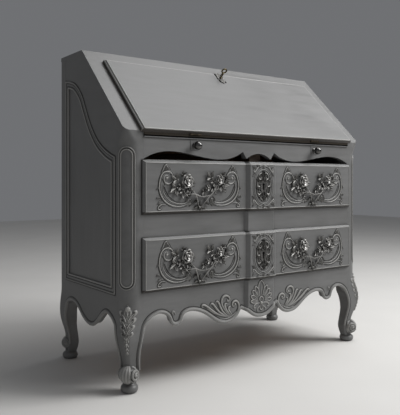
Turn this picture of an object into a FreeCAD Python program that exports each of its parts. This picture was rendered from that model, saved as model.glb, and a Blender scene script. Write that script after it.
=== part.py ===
import FreeCAD, Part
import math
import os

V = FreeCAD.Vector

# A painted slant-front desk on cabriole legs, in millimetres.
# X runs to the right, Y to the back and Z up.
# While it is modelled, Y is zero on the front plane of the posts.

# Carcass
WIDTH = 985.0
DEPTH = 431.0
HEIGHT = 1000.0
TOP_DEPTH = 159.0
TOP_THICKNESS = 13.0
SLANT_FOOT_HEIGHT = 734.0
STILE_THICKNESS = 20.0
FRONT_POST_WIDTH = 62.0
FRONT_POST_DEPTH = 52.0
REAR_POST_SIZE = 40.0
CORNER_ROUND = 46.0
RAIL_THICKNESS = 22.0
BACK_PANEL_THICKNESS = 10.0
BACK_PANEL_INSET = 6.0
REAR_RAIL_HEIGHT = 71.0

# Legs and feet
KNEE_TOP_HEIGHT = 230.0
KNEE_HEIGHT = 178.0
FOOT_INSET = 31.5
FRONT_FOOT_SETBACK = 28.0
REAR_FOOT_SETBACK = 1.0
PAD_RADIUS = 23.0
PAD_HEIGHT = 24.0
SCROLL_RADIUS = 22.0
SCROLL_WIDTH = 52.0
SCROLL_REACH = 16.0
SCROLL_CENTRE_HEIGHT = 47.0
LEG_EDGE_ROUND = 4.0
# Each station of a leg: height, width, outward shift and radius of the outer edge.
LEG_STATIONS = (
    (PAD_HEIGHT, 32.0, -2.0, 10.0),
    (58.0, 36.0, -5.0, 10.0),
    (85.0, 36.0, -2.5, 10.0),
    (119.0, 42.0, 3.9, 11.0),
    (141.0, 49.0, 5.4, 12.0),
    (KNEE_HEIGHT, 54.0, 5.7, 14.0),
)

# Side frames
SIDE_APRON_TOP = 271.0
PANEL_RECESS = 13.0
PANEL_THICKNESS = 9.0
MOULDING_WIDTH = 22.0
MOULDING_PROUD = 1.5
PANEL_FIT = 0.4
# Ogee over the side panel, from below the slant's foot to below the top of the desk.
OGEE_FOOT_DROP = 73.0
OGEE_HEAD_DROP = 82.0
# Points of the ogee: share of the opening from front to back, share of its rise.
SIDE_OGEE = ((0.0, 0.0), (0.155, 0.074), (0.318, 0.202), (0.458, 0.397), (0.569, 0.623),
             (0.652, 0.786), (0.796, 0.934), (1.0, 1.0))
# Lower edge of the side apron: share of the opening from front to back, depth below the apron's top.
SIDE_SCALLOP = ((0.0, 84.0), (0.067, 63.0), (0.169, 54.0), (0.262, 71.0), (0.42, 108.0),
                (0.638, 89.0), (0.746, 64.0), (0.883, 57.0), (1.0, 80.0))

# Front rails and their centre break
APRON_TOP = 286.0
FRIEZE_HEIGHT = 71.5
DIVIDER_HEIGHT = 79.5
DIVIDER_DEPTH = 34.0
FRIEZE_THICKNESS = 20.0
BREAK_HALF_WIDTH = 53.6
BREAK_PROUD = 10.7
# Lower edge of the front apron: share of the half opening from the post inward, depth below its top.
APRON_SCALLOP = ((1.0, 98.0), (0.86, 66.0), (0.735, 108.0), (0.6, 75.0), (0.333, 131.0), (0.175, 90.0))
APRON_CENTRE_DEPTH = 129.0
# Lower edge of the frieze: share of the half opening from the post inward, share of its height.
FRIEZE_SCALLOP = ((1.0, 0.853), (0.764, 0.524), (0.36, 0.811), (0.156, 0.441))
FRIEZE_POINT = (0.12, 0.748)
FRIEZE_CENTRE_SHARE = 0.503

# Writing bed, gallery and its small drawers
BED_DROP = 4.0
BED_THICKNESS = 14.0
SHELF_SHARE = 0.2724
GALLERY_BOARD = 8.0
BAY_DIVIDER_X = 150.0
PIGEONHOLES = 5
GALLERY_GAP = 2.0
SMALL_DRAWER_BACK_CLEAR = 29.69
SMALL_DRAWER_WALL = 6.0
SMALL_DRAWER_FRONT = 10.0
SMALL_DRAWER_FIT = 0.6
SMALL_KNOB_RADIUS = 6.0
SMALL_KNOB_LENGTH = 14.0

# Fall flap with its hinges, lock and key
FLAP_SIDE_OVERLAP = 10.5
FLAP_TOP_MARGIN = 55.17
FLAP_THICKNESS = 14.0
FLAP_EDGE = 7.0
FLAP_GAP = 0.3
RAIL_OVERLAP = 10.0
HINGE_X = 256.0
HINGE_LENGTH = 40.0
KNUCKLE_RADIUS = 3.5
HINGE_PIN_RADIUS = 1.5
HINGE_FIT = 0.3
LEAF_LENGTH = 22.0
LEAF_THICKNESS = 1.6
LOCK_WIDTH = 64.0
LOCK_HEIGHT = 40.0
LOCK_DEPTH = 13.0
LOCK_WALL = 2.0
LOCK_GAP = 2.0
KEYHOLE_DROP = 17.0
BOLT_WIDTH = 24.0
BOLT_THICKNESS = 3.0
BOLT_LENGTH = 35.0
BOLT_LEVEL = 3.0
BOLT_THROW = 8.0
BOLT_FIT = 0.4
KEY_SHANK_RADIUS = 3.0
KEY_SHANK_OUTSIDE = 24.0
KEY_BOW_RADIUS = 8.0
KEY_BOW_WIRE = 2.2
KEY_BIT_LENGTH = 10.0
KEY_BIT_HEIGHT = 3.0
KEY_FIT = 0.5
ESCUTCHEON_THICKNESS = 2.0
FLAP_ESCUTCHEON_WIDTH = 24.0
FLAP_ESCUTCHEON_HEIGHT = 50.0
STRIKE_THICKNESS = 1.5

# Lopers that carry the open flap
LOPER_X = 256.0
LOPER_WIDTH = 30.0
LOPER_HEIGHT = 32.0
LOPER_BACK_CLEAR = 70.0
LOPER_PROUD = 1.0
LOPER_FIT = 0.3
GUIDE_WALL = 8.0
KNOB_RADIUS = 13.0
KNOB_LENGTH = 30.0
KNOB_NECK_RADIUS = 5.0

# Main drawers
LIP_OVERLAP = 6.5
LIP_PROUD = 10.7
LIP_BEVEL = 7.0
LIP_FIT = 0.3
DRAWER_SIDE_FIT = 1.0
DRAWER_RUN_FIT = 0.3
DRAWER_FRONT_THICKNESS = 20.0
DRAWER_BACK_CLEAR = 15.0
DRAWER_SIDE_THICKNESS = 12.0
DRAWER_BOTTOM_THICKNESS = 8.0
DRAWER_BOTTOM_RAISE = 6.0
DRAWER_SIDE_DROP = 16.0
RUNNER_WIDTH = 26.0
RUNNER_THICKNESS = 18.0
GUIDE_STRIP_HEIGHT = 20.0
DUST_BOARD_THICKNESS = 6.0
DRAWER_LOCK_WIDTH = 60.0
DRAWER_LOCK_SHARE = 0.4445
DRAWER_LOCK_DEPTH = 12.0
DRAWER_BOLT_WIDTH = 20.0
KEEPER_WIDTH = 48.0
KEEPER_CLEAR = 2.0

# Cast pulls and keyhole plates of the main drawers
PULL_X = 241.0
ROSE_SPREAD = 57.0
ROSE_SHARE = 0.57
ROSE_RADIUS = 16.0
ROSE_HEIGHT = 22.0
STEM_RADIUS = 3.5
STEM_STANDOFF = 12.0
PULL_FOOT_RADIUS = 5.0
PULL_FOOT_SHARE = 0.1
ESCUTCHEON_SHARE = 0.681
ESCUTCHEON_SLIMNESS = 0.6737
KEYHOLE_RADIUS = 3.5

# Places worked out from the sizes above
half_width = WIDTH / 2
open_half = half_width - FRONT_POST_WIDTH
flap_half = open_half + FLAP_SIDE_OVERLAP
rear_half = half_width - REAR_POST_SIZE
side_inner = half_width - RAIL_THICKNESS
rear_post_front = DEPTH - REAR_POST_SIZE
back_panel_front = DEPTH - BACK_PANEL_INSET - BACK_PANEL_THICKNESS
top_under = HEIGHT - TOP_THICKNESS
slant_run = DEPTH - TOP_DEPTH
slant_rise = HEIGHT - SLANT_FOOT_HEIGHT
slant_angle = math.atan2(slant_rise, slant_run)
slant_slope = slant_rise / slant_run
stile_depth = STILE_THICKNESS / math.cos(slant_angle)
stile_run = STILE_THICKNESS / math.sin(slant_angle)
bed_top = SLANT_FOOT_HEIGHT - BED_DROP
axis_z = bed_top
axis_y = (bed_top - SLANT_FOOT_HEIGHT) / slant_slope
bed_under = bed_top - BED_THICKNESS
bed_front = axis_y + 2 * FLAP_GAP
bed_wing_front = max(FRONT_POST_DEPTH, (stile_depth - BED_DROP) / slant_slope)
flap_length = math.hypot(slant_run, slant_rise) + BED_DROP / math.sin(slant_angle) - FLAP_TOP_MARGIN
slant_at_top = (top_under - SLANT_FOOT_HEIGHT) / slant_slope
gallery_front = slant_at_top + stile_run + GALLERY_GAP
small_drawer_length = back_panel_front - gallery_front - SMALL_DRAWER_BACK_CLEAR
shelf_under = bed_top + SHELF_SHARE * (top_under - bed_top)
shelf_top = shelf_under + GALLERY_BOARD
drawer_opening = (bed_under - FRIEZE_HEIGHT - APRON_TOP - DIVIDER_HEIGHT) / 2
drawer_length = back_panel_front - DRAWER_FRONT_THICKNESS - DRAWER_BACK_CLEAR
drawer_lock_height = DRAWER_LOCK_SHARE * drawer_opening
escutcheon_height = ESCUTCHEON_SHARE * drawer_opening
divider_bottom = APRON_TOP + drawer_opening
divider_top = divider_bottom + DIVIDER_HEIGHT
upper_opening_top = divider_top + drawer_opening
break_base = BREAK_HALF_WIDTH + BREAK_PROUD
loper_length = back_panel_front - LOPER_BACK_CLEAR
loper_top = bed_top - FLAP_THICKNESS - LOPER_FIT
loper_bottom = loper_top - LOPER_HEIGHT
guide_bottom = loper_bottom - LOPER_FIT - GUIDE_WALL
rail_edge = flap_length - RAIL_OVERLAP
lock_top = rail_edge - LOCK_GAP
key_place = lock_top - KEYHOLE_DROP
keyhole_rise = drawer_opening / 2
foot_reach = (SCROLL_REACH + SCROLL_RADIUS + SCROLL_WIDTH / 2) / math.sqrt(2)
front_reach = max(LIP_PROUD + ROSE_HEIGHT, LOPER_PROUD + KNOB_LENGTH)
back_reach = foot_reach - REAR_FOOT_SETBACK
y_front = (front_reach - DEPTH - back_reach) / 2


def box(x0, x1, y0, y1, z0, z1):
    """A block between two corners."""
    return Part.makeBox(x1 - x0, y1 - y0, z1 - z0, V(x0, y0, z0))


def outline(*stretches):
    """A closed face whose edge is made of straight stretches and smooth curves through points."""
    edges = []
    for points in stretches:
        if len(points) == 2:
            edges.append(Part.makeLine(points[0], points[1]))
        else:
            curve = Part.BSplineCurve()
            curve.interpolate(points)
            edges.append(curve.toShape())
    return Part.Face(Part.Wire(edges))


def polygon(points):
    """A closed flat face with straight sides."""
    return Part.Face(Part.makePolygon(points + points[:1]))


def plan_board(points, z0, z1):
    """A board with the given outline seen from above."""
    return polygon([V(x, y, z0) for x, y in points]).extrude(V(0, 0, z1 - z0))


def side_board(points, x0, x1):
    """A board with the given outline seen from the side."""
    return polygon([V(x0, y, z) for y, z in points]).extrude(V(x1 - x0, 0, 0))


def both_sides(shape):
    """A piece and its mirror image across the middle of the desk, as two solids."""
    return Part.makeCompound([shape, mirrored(shape)])


def mirrored(shape):
    """The same piece for the other side of the desk."""
    return shape.mirror(V(0, 0, 0), V(1, 0, 0))


def on_slant(shape):
    """Lays a piece drawn flat, with the hinge axis at the origin, on the slant of the desk."""
    turned = shape.copy()
    turned.rotate(V(0, 0, 0), V(1, 0, 0), math.degrees(slant_angle))
    turned.translate(V(0, axis_y, axis_z))
    return turned


def cylinder(radius, length, start, direction):
    """A round bar from a start point along a direction."""
    return Part.makeCylinder(radius, length, start, direction)


def oval_plate(width, height, thickness):
    """A flat oval plate in X and Y with its back on zero height."""
    ellipse = Part.Ellipse(V(0, 0, 0), height / 2, width / 2).toShape()
    face = Part.Face(Part.Wire([ellipse]))
    plate = face.extrude(V(0, 0, thickness))
    plate.rotate(V(0, 0, 0), V(0, 0, 1), 90)
    return plate


def save(name, shape):
    """Writes one piece in the desk's own frame, whose origin is under the middle of the desk."""
    placed = shape.copy()
    placed.translate(V(0, y_front, 0))
    placed.exportStep("parts/" + name + ".step")


os.makedirs("parts", exist_ok=True)


# Corner posts, each in one piece with its cabriole leg and scroll foot

def leg_section(x0, x1, y0, y1, z, outer_round, outer_at_back):
    """A cross section of the right-hand leg with its outer edge rounded more than the other three."""
    small = LEG_EDGE_ROUND
    radii = [small, outer_round, small, small]
    if outer_at_back:
        radii = [small, small, outer_round, small]
    corners = [(x0, y0, 1, 1), (x1, y0, -1, 1), (x1, y1, -1, -1), (x0, y1, 1, -1)]
    starts = []
    edges = []
    for radius, (x, y, sx, sy) in zip(radii, corners):
        along_x = V(x + sx * radius, y, z)
        along_y = V(x, y + sy * radius, z)
        bow = radius * (1 - math.sqrt(0.5))
        middle = V(x + sx * bow, y + sy * bow, z)
        first, last = (along_y, along_x) if sx * sy > 0 else (along_x, along_y)
        starts.append((first, middle, last))
    for index, (first, middle, last) in enumerate(starts):
        edges.append(Part.Arc(first, middle, last).toShape())
        edges.append(Part.makeLine(last, starts[(index + 1) % 4][0]))
    return Part.Wire(edges)


def corner_post(x0, y0, y1, foot_y, outward_y, post_round):
    """A right-hand post from its foot to above the desk, with outward_y -1 at the front and 1 at the back."""
    foot_x = half_width - FOOT_INSET
    post_x = (x0 + half_width) / 2
    post_y = (y0 + y1) / 2
    at_back = outward_y > 0
    sections = []
    for height, width, shift, edge_round in LEG_STATIONS:
        rise = min(1.0, max(0.0, (height - PAD_HEIGHT) / (KNEE_TOP_HEIGHT - PAD_HEIGHT)))
        lean = rise * rise
        x = foot_x + (post_x - foot_x) * lean + shift
        y = foot_y + (post_y - foot_y) * lean + shift * outward_y
        half = width / 2
        sections.append(leg_section(x - half, x + half, y - half, y + half, height, edge_round, at_back))
    post_section = leg_section(x0, half_width, y0, y1, KNEE_TOP_HEIGHT, post_round, at_back)
    sections.append(post_section)
    leg = Part.makeLoft(sections, True, False)
    post = Part.Face(post_section).extrude(V(0, 0, HEIGHT - KNEE_TOP_HEIGHT))
    pad = Part.makeCylinder(PAD_RADIUS, PAD_HEIGHT, V(foot_x, foot_y, 0))
    diagonal = V(1, outward_y, 0).normalize()
    across = V(1, -outward_y, 0).normalize()
    middle = V(foot_x, foot_y, SCROLL_CENTRE_HEIGHT) + diagonal * SCROLL_REACH
    scroll = cylinder(SCROLL_RADIUS, SCROLL_WIDTH, middle - across * (SCROLL_WIDTH / 2), across)
    return leg.fuse([post, pad, scroll]).removeSplitter()


above_stile_seat = side_board([(-DEPTH, SLANT_FOOT_HEIGHT - stile_depth - DEPTH * slant_slope),
                               (DEPTH, SLANT_FOOT_HEIGHT - stile_depth + DEPTH * slant_slope),
                               (DEPTH, 3 * HEIGHT), (-DEPTH, 3 * HEIGHT)], -WIDTH, WIDTH)
front_post = corner_post(open_half, 0.0, FRONT_POST_DEPTH, FRONT_FOOT_SETBACK, -1, CORNER_ROUND)
front_post = front_post.cut(above_stile_seat)
rear_post = corner_post(rear_half, rear_post_front, DEPTH, DEPTH - REAR_FOOT_SETBACK, 1, LEG_EDGE_ROUND)
rear_post = rear_post.cut(box(0, WIDTH, 0, 2 * DEPTH, top_under, 2 * HEIGHT))


# Side frames: an upper rail under the slant, a fielded panel with an ogee head and a scalloped apron

side_span = rear_post_front - FRONT_POST_DEPTH


def side_point(share, height):
    """A point on the inner face of a side rail, by its share of the way from front post to rear post."""
    return V(side_inner, FRONT_POST_DEPTH + share * side_span, height)


def stile_underside(y):
    """Height of the underside of the slant stile above a given depth."""
    return SLANT_FOOT_HEIGHT - stile_depth + y * slant_slope


ogee_foot = SLANT_FOOT_HEIGHT - OGEE_FOOT_DROP
ogee_rise = HEIGHT - OGEE_HEAD_DROP - ogee_foot
ogee = [side_point(share, ogee_foot + rise * ogee_rise) for share, rise in SIDE_OGEE]
stile_meets_top = (top_under - SLANT_FOOT_HEIGHT + stile_depth) / slant_slope
front_corner = V(side_inner, FRONT_POST_DEPTH, stile_underside(FRONT_POST_DEPTH))
top_corner = V(side_inner, stile_meets_top, top_under)
rear_corner = V(side_inner, rear_post_front, top_under)
upper_rail_face = outline(ogee, [ogee[-1], rear_corner], [rear_corner, top_corner],
                          [top_corner, front_corner], [front_corner, ogee[0]])
upper_rail = upper_rail_face.extrude(V(RAIL_THICKNESS, 0, 0))

scallop = [side_point(share, SIDE_APRON_TOP - depth) for share, depth in SIDE_SCALLOP]
apron_front_top = side_point(0, SIDE_APRON_TOP)
apron_rear_top = side_point(1, SIDE_APRON_TOP)
side_apron_face = outline(scallop, [scallop[-1], apron_rear_top], [apron_rear_top, apron_front_top],
                          [apron_front_top, scallop[0]])
side_apron = side_apron_face.extrude(V(RAIL_THICKNESS, 0, 0))


def panel_field(inset, x0, x1):
    """A field under the ogee, drawn in from its frame by an inset."""
    head = []
    for index, point in enumerate(ogee):
        before = ogee[max(index - 1, 0)]
        after = ogee[min(index + 1, len(ogee) - 1)]
        tangent = (after - before).normalize()
        moved = point + V(0, tangent.z, -tangent.y) * inset
        head.append(V(x0, moved.y, moved.z))
    head[0].y = FRONT_POST_DEPTH + inset
    head[-1].y = rear_post_front - inset
    low_front = V(x0, head[0].y, SIDE_APRON_TOP + inset)
    low_rear = V(x0, head[-1].y, SIDE_APRON_TOP + inset)
    field = outline(head, [head[-1], low_rear], [low_rear, low_front], [low_front, head[0]])
    return field.extrude(V(x1 - x0, 0, 0))


panel_face = half_width - PANEL_RECESS
panel = panel_field(PANEL_FIT, panel_face - PANEL_THICKNESS, panel_face)
moulding = panel_field(PANEL_FIT, panel_face, half_width + MOULDING_PROUD)
moulding = moulding.cut(panel_field(MOULDING_WIDTH, panel_face - PANEL_THICKNESS, half_width + PANEL_RECESS))
side_panel = panel.fuse(moulding).removeSplitter()
rear_rail = box(-rear_half, rear_half, back_panel_front, DEPTH, APRON_TOP - REAR_RAIL_HEIGHT, APRON_TOP)
rear_post = rear_post.cut([side_apron, rear_rail])
for name, piece in (("side_upper_rail", upper_rail), ("side_panel", side_panel), ("side_apron", side_apron),
                    ("rear_post", rear_post)):
    save("right_" + name, piece)
    save("left_" + name, mirrored(piece))


# Back, top and the frame of the slant

save("back_panel", box(-rear_half, rear_half, back_panel_front, DEPTH - BACK_PANEL_INSET,
                       APRON_TOP, top_under))
save("rear_rail", rear_rail)
top_board = side_board([(slant_at_top, top_under), (slant_run, HEIGHT), (DEPTH, HEIGHT), (DEPTH, top_under)],
                       -half_width, half_width)
save("top_board", top_board)

stile = side_board([(0, SLANT_FOOT_HEIGHT - stile_depth), (0, SLANT_FOOT_HEIGHT), (slant_at_top, top_under),
                    (slant_at_top + stile_run, top_under)], open_half, half_width)
rounded_corner = Part.Face(leg_section(open_half, half_width, 0, 2 * DEPTH, 0, CORNER_ROUND, False))
square_edge = box(open_half, half_width - CORNER_ROUND, 0, DEPTH, 0, HEIGHT)
stile = stile.common(rounded_corner.extrude(V(0, 0, HEIGHT)).fuse(square_edge))
save("slant_stiles", both_sides(stile))

bolt_back = BOLT_LEVEL + BOLT_THICKNESS
slant_rail = box(-open_half, open_half, rail_edge, 2 * flap_length, -STILE_THICKNESS, 0)
slant_rail = slant_rail.cut(box(-BOLT_WIDTH / 2 - BOLT_FIT, BOLT_WIDTH / 2 + BOLT_FIT,
                                rail_edge, rail_edge + 2 * BOLT_THROW,
                                -bolt_back - BOLT_FIT, -BOLT_LEVEL + BOLT_FIT))
strike_half = BOLT_WIDTH
strike_seat = box(-strike_half, strike_half, rail_edge, rail_edge + STRIKE_THICKNESS,
                  -bolt_back - BOLT_LEVEL, 0)
slant_rail = on_slant(slant_rail.cut(strike_seat))
slant_rail = slant_rail.cut(box(-WIDTH, WIDTH, 0, 3 * DEPTH, top_under, 3 * HEIGHT))
save("slant_top_rail", slant_rail)
strike = strike_seat.cut(box(-BOLT_WIDTH / 2 - BOLT_FIT, BOLT_WIDTH / 2 + BOLT_FIT, 0, 2 * flap_length,
                             -bolt_back - BOLT_FIT, -BOLT_LEVEL + BOLT_FIT))
save("flap_strike", on_slant(strike))


# Front rails: scalloped frieze, divider between the drawers and scalloped apron

def break_plan(half, front, back, proud):
    """Plan of a rail or drawer front whose middle steps forward with canted returns."""
    return [(-half, back), (-half, front), (-break_base, front), (-BREAK_HALF_WIDTH, front - proud),
            (BREAK_HALF_WIDTH, front - proud), (break_base, front), (half, front), (half, back)]


divider = plan_board(break_plan(open_half, 0, DIVIDER_DEPTH, BREAK_PROUD), divider_bottom, divider_top)
bolt_line = DRAWER_FRONT_THICKNESS + DRAWER_LOCK_DEPTH / 2
mortise_half = DRAWER_BOLT_WIDTH / 2 + BOLT_FIT
mortise_depth = BOLT_THICKNESS / 2 + BOLT_FIT
bolt_mortise = box(-mortise_half, mortise_half, bolt_line - mortise_depth, bolt_line + mortise_depth,
                   0, 2 * BOLT_THROW)
divider_mortise = bolt_mortise.copy()
divider_mortise.translate(V(0, 0, divider_bottom))
save("divider_rail", divider.cut(divider_mortise))


def scalloped(profile, middle_points, top, front, back):
    """A rail seen from the front whose lower edge is scalloped, the same on both sides of the middle."""
    right = [V(share * open_half, front, top - depth) for share, depth in profile]
    left = [V(-point.x, front, point.z) for point in reversed(right)]
    corners = [V(-open_half, front, top), V(open_half, front, top)]
    face = outline(right, middle_points, left, [left[-1], corners[0]], corners, [corners[1], right[0]])
    return face.extrude(V(0, back - front, 0))


apron_cusp_x = APRON_SCALLOP[-1][0] * open_half
apron_cusp_z = APRON_TOP - APRON_SCALLOP[-1][1]
apron_front = -BREAK_PROUD
lobe = [V(apron_cusp_x, apron_front, apron_cusp_z), V(0, apron_front, APRON_TOP - APRON_CENTRE_DEPTH),
        V(-apron_cusp_x, apron_front, apron_cusp_z)]
apron = scalloped(APRON_SCALLOP, lobe, APRON_TOP, apron_front, RAIL_THICKNESS)
apron = apron.common(plan_board(break_plan(open_half, 0, RAIL_THICKNESS, BREAK_PROUD), 0, APRON_TOP))
save("front_apron", apron)
front_post = front_post.cut([side_apron, apron])
save("right_front_post", front_post)
save("left_front_post", mirrored(front_post))

frieze_cusp = V(FRIEZE_SCALLOP[-1][0] * open_half, 0, bed_under - FRIEZE_SCALLOP[-1][1] * FRIEZE_HEIGHT)
frieze_point = V(FRIEZE_POINT[0] * open_half, 0, bed_under - FRIEZE_POINT[1] * FRIEZE_HEIGHT)
frieze_middle = V(0, 0, bed_under - FRIEZE_CENTRE_SHARE * FRIEZE_HEIGHT)
right_edge = [V(share * open_half, 0, bed_under - drop * FRIEZE_HEIGHT) for share, drop in FRIEZE_SCALLOP]
left_edge = [V(-point.x, 0, point.z) for point in reversed(right_edge)]
other_point = V(-frieze_point.x, 0, frieze_point.z)
frieze_corners = [V(-open_half, 0, bed_under), V(open_half, 0, bed_under)]
frieze_face = outline(right_edge, [frieze_cusp, frieze_point], [frieze_point, frieze_middle, other_point],
                      [other_point, left_edge[0]], left_edge, [left_edge[-1], frieze_corners[0]],
                      frieze_corners, [frieze_corners[1], right_edge[0]])
frieze = frieze_face.extrude(V(0, FRIEZE_THICKNESS, 0))
notch_half = LOPER_WIDTH / 2 + LOPER_FIT
loper_notch = box(LOPER_X - notch_half, LOPER_X + notch_half, -BREAK_PROUD, DEPTH,
                  loper_bottom - LOPER_FIT, HEIGHT)
save("frieze_rail", frieze.cut(both_sides(loper_notch)))


# Writing bed, lopers' guides, drawer runners and dust board

hinge_relief = KNUCKLE_RADIUS + HINGE_FIT
bed = plan_board([(-open_half, bed_front), (open_half, bed_front), (open_half, bed_wing_front),
                  (side_inner, bed_wing_front), (side_inner, rear_post_front),
                  (rear_half, rear_post_front), (rear_half, back_panel_front),
                  (-rear_half, back_panel_front), (-rear_half, rear_post_front),
                  (-side_inner, rear_post_front), (-side_inner, bed_wing_front),
                  (-open_half, bed_wing_front)], bed_under, bed_top)
leaf_seat = box(HINGE_X - HINGE_LENGTH / 2, HINGE_X + HINGE_LENGTH / 2, axis_y, axis_y + LEAF_LENGTH,
                bed_top - LEAF_THICKNESS, bed_top + LEAF_THICKNESS)
barrel_seat = cylinder(hinge_relief, HINGE_LENGTH + 2 * HINGE_FIT,
                       V(HINGE_X - HINGE_LENGTH / 2 - HINGE_FIT, axis_y, axis_z), V(1, 0, 0))
save("writing_bed", bed.cut(both_sides(leaf_seat)).cut(both_sides(barrel_seat)))

guide_outer = notch_half + GUIDE_WALL
guide_end = FRIEZE_THICKNESS + loper_length
guide = box(LOPER_X - guide_outer, LOPER_X + guide_outer, FRIEZE_THICKNESS, guide_end,
            guide_bottom, bed_under)
guide = guide.cut(loper_notch)
save("loper_guides", both_sides(guide))

keeper_bottom = upper_opening_top + KEEPER_CLEAR
keeper = box(-KEEPER_WIDTH / 2, KEEPER_WIDTH / 2, FRIEZE_THICKNESS, DIVIDER_DEPTH, keeper_bottom, bed_under)
keeper_mortise = bolt_mortise.copy()
keeper_mortise.translate(V(0, 0, keeper_bottom))
save("lock_keeper", keeper.cut(keeper_mortise))


def runner(level, front):
    """A right-hand runner whose top carries a drawer side, with a guide strip beside the drawer."""
    rail = box(open_half - RUNNER_WIDTH, open_half, front, back_panel_front, level - RUNNER_THICKNESS, level)
    shelf = box(open_half, panel_face - PANEL_THICKNESS, FRONT_POST_DEPTH, rear_post_front,
                level - RUNNER_THICKNESS, level + GUIDE_STRIP_HEIGHT)
    return rail.fuse(shelf).removeSplitter()


runners = [runner(APRON_TOP, RAIL_THICKNESS), runner(divider_top, DIVIDER_DEPTH)]
save("drawer_runners", Part.makeCompound(runners + [mirrored(piece) for piece in runners]))
dust_level = divider_top - RUNNER_THICKNESS
save("dust_board", box(RUNNER_WIDTH - open_half, open_half - RUNNER_WIDTH, DIVIDER_DEPTH, back_panel_front,
                       dust_level, dust_level + DUST_BOARD_THICKNESS))


# Gallery inside the desk: a shelf, bay dividers below and pigeonhole dividers above

shelf = plan_board([(-side_inner, gallery_front), (side_inner, gallery_front), (side_inner, rear_post_front),
                    (rear_half, rear_post_front), (rear_half, back_panel_front),
                    (-rear_half, back_panel_front), (-rear_half, rear_post_front),
                    (-side_inner, rear_post_front)], shelf_under, shelf_top)
save("gallery_shelf", shelf)
half_board = GALLERY_BOARD / 2
dividers = [box(x - half_board, x + half_board, gallery_front, back_panel_front, bed_top, shelf_under)
            for x in (-BAY_DIVIDER_X, BAY_DIVIDER_X)]
pigeonhole = 2 * side_inner / PIGEONHOLES
for index in range(1, PIGEONHOLES):
    x = index * pigeonhole - side_inner
    dividers.append(box(x - half_board, x + half_board, gallery_front, back_panel_front,
                        shelf_top, top_under))
save("gallery_dividers", Part.makeCompound(dividers))

small_left = BAY_DIVIDER_X + half_board + SMALL_DRAWER_FIT
small_right = side_inner - SMALL_DRAWER_FIT
small_bottom = bed_top + DRAWER_RUN_FIT
small_top = shelf_under - SMALL_DRAWER_FIT
small_front_back = gallery_front + SMALL_DRAWER_FRONT
small_end = gallery_front + small_drawer_length
small_front = box(small_left, small_right, gallery_front, small_front_back, small_bottom, small_top)
small_box = box(small_left, small_right, small_front_back, small_end, small_bottom, small_top)
small_box = small_box.cut(box(small_left + SMALL_DRAWER_WALL, small_right - SMALL_DRAWER_WALL,
                              small_front_back, small_end - SMALL_DRAWER_WALL,
                              small_bottom + SMALL_DRAWER_WALL, HEIGHT))
small_knob_at = V((small_left + small_right) / 2, gallery_front, (small_bottom + small_top) / 2)
small_knob = cylinder(SMALL_KNOB_RADIUS / 2, SMALL_KNOB_LENGTH / 2, small_knob_at, V(0, -1, 0))
small_head = cylinder(SMALL_KNOB_RADIUS, SMALL_KNOB_LENGTH / 2,
                      small_knob_at - V(0, SMALL_KNOB_LENGTH / 2, 0), V(0, -1, 0))
small_knob = small_knob.fuse(small_head)
for name, piece in (("front", small_front), ("box", small_box), ("knob", small_knob)):
    save("right_small_drawer_" + name, piece)
    save("left_small_drawer_" + name, mirrored(piece))


# Fall flap, drawn flat with its inner face on zero and the hinge axis at the origin

def bevelled_slab(x, y0, y1, thickness, edge):
    """A slab whose upper sides and far end slope in, with its near end square."""
    def ring(inset, z):
        return Part.makePolygon([V(-x + inset, y0, z), V(x - inset, y0, z), V(x - inset, y1 - inset, z),
                                 V(-x + inset, y1 - inset, z), V(-x + inset, y0, z)])
    body = Part.Face(ring(0, 0)).extrude(V(0, 0, thickness - edge))
    bevel = Part.makeLoft([ring(0, thickness - edge), ring(edge, thickness)], True, True)
    return body.fuse(bevel).removeSplitter()


flap = bevelled_slab(flap_half, FLAP_GAP, flap_length, FLAP_THICKNESS, FLAP_EDGE)
flap_leaf_seat = box(HINGE_X - HINGE_LENGTH / 2, HINGE_X + HINGE_LENGTH / 2, 0, LEAF_LENGTH,
                     0, LEAF_THICKNESS)
flap_barrel_seat = cylinder(hinge_relief, HINGE_LENGTH + 2 * HINGE_FIT,
                            V(HINGE_X - HINGE_LENGTH / 2 - HINGE_FIT, 0, 0), V(1, 0, 0))
key_bore = cylinder(KEY_SHANK_RADIUS + KEY_FIT, 2 * FLAP_THICKNESS, V(0, key_place, -FLAP_THICKNESS / 2),
                    V(0, 0, 1))
flap = flap.cut(both_sides(flap_leaf_seat)).cut(both_sides(flap_barrel_seat)).cut(key_bore)
save("flap_board", on_slant(flap))

knuckle = HINGE_LENGTH / 3
hinge_start = HINGE_X - HINGE_LENGTH / 2
pin_bore = cylinder(HINGE_PIN_RADIUS + HINGE_FIT / 2, 2 * HINGE_LENGTH,
                    V(hinge_start - HINGE_LENGTH / 2, 0, 0), V(1, 0, 0))
middle_gap = cylinder(hinge_relief, knuckle + 2 * HINGE_FIT,
                      V(hinge_start + knuckle - HINGE_FIT, 0, 0), V(1, 0, 0))
end_gaps = cylinder(hinge_relief, knuckle + HINGE_FIT, V(hinge_start, 0, 0), V(1, 0, 0)).fuse(
    cylinder(hinge_relief, knuckle + HINGE_FIT, V(hinge_start + 2 * knuckle - HINGE_FIT, 0, 0), V(1, 0, 0)))
barrel = cylinder(KNUCKLE_RADIUS, HINGE_LENGTH, V(hinge_start, 0, 0), V(1, 0, 0))
bed_leaf = box(hinge_start, hinge_start + HINGE_LENGTH, 0, LEAF_LENGTH, -LEAF_THICKNESS, 0)
bed_leaf = bed_leaf.fuse(barrel).cut(middle_gap).cut(pin_bore)
bed_leaf.translate(V(0, axis_y, axis_z))
save("bed_hinge_leaves", both_sides(bed_leaf))
flap_leaf = flap_leaf_seat.fuse(barrel).cut(end_gaps).cut(pin_bore)
save("flap_hinge_leaves", both_sides(on_slant(flap_leaf)))
hinge_pin = cylinder(HINGE_PIN_RADIUS, HINGE_LENGTH, V(hinge_start, axis_y, axis_z), V(1, 0, 0))
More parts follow.
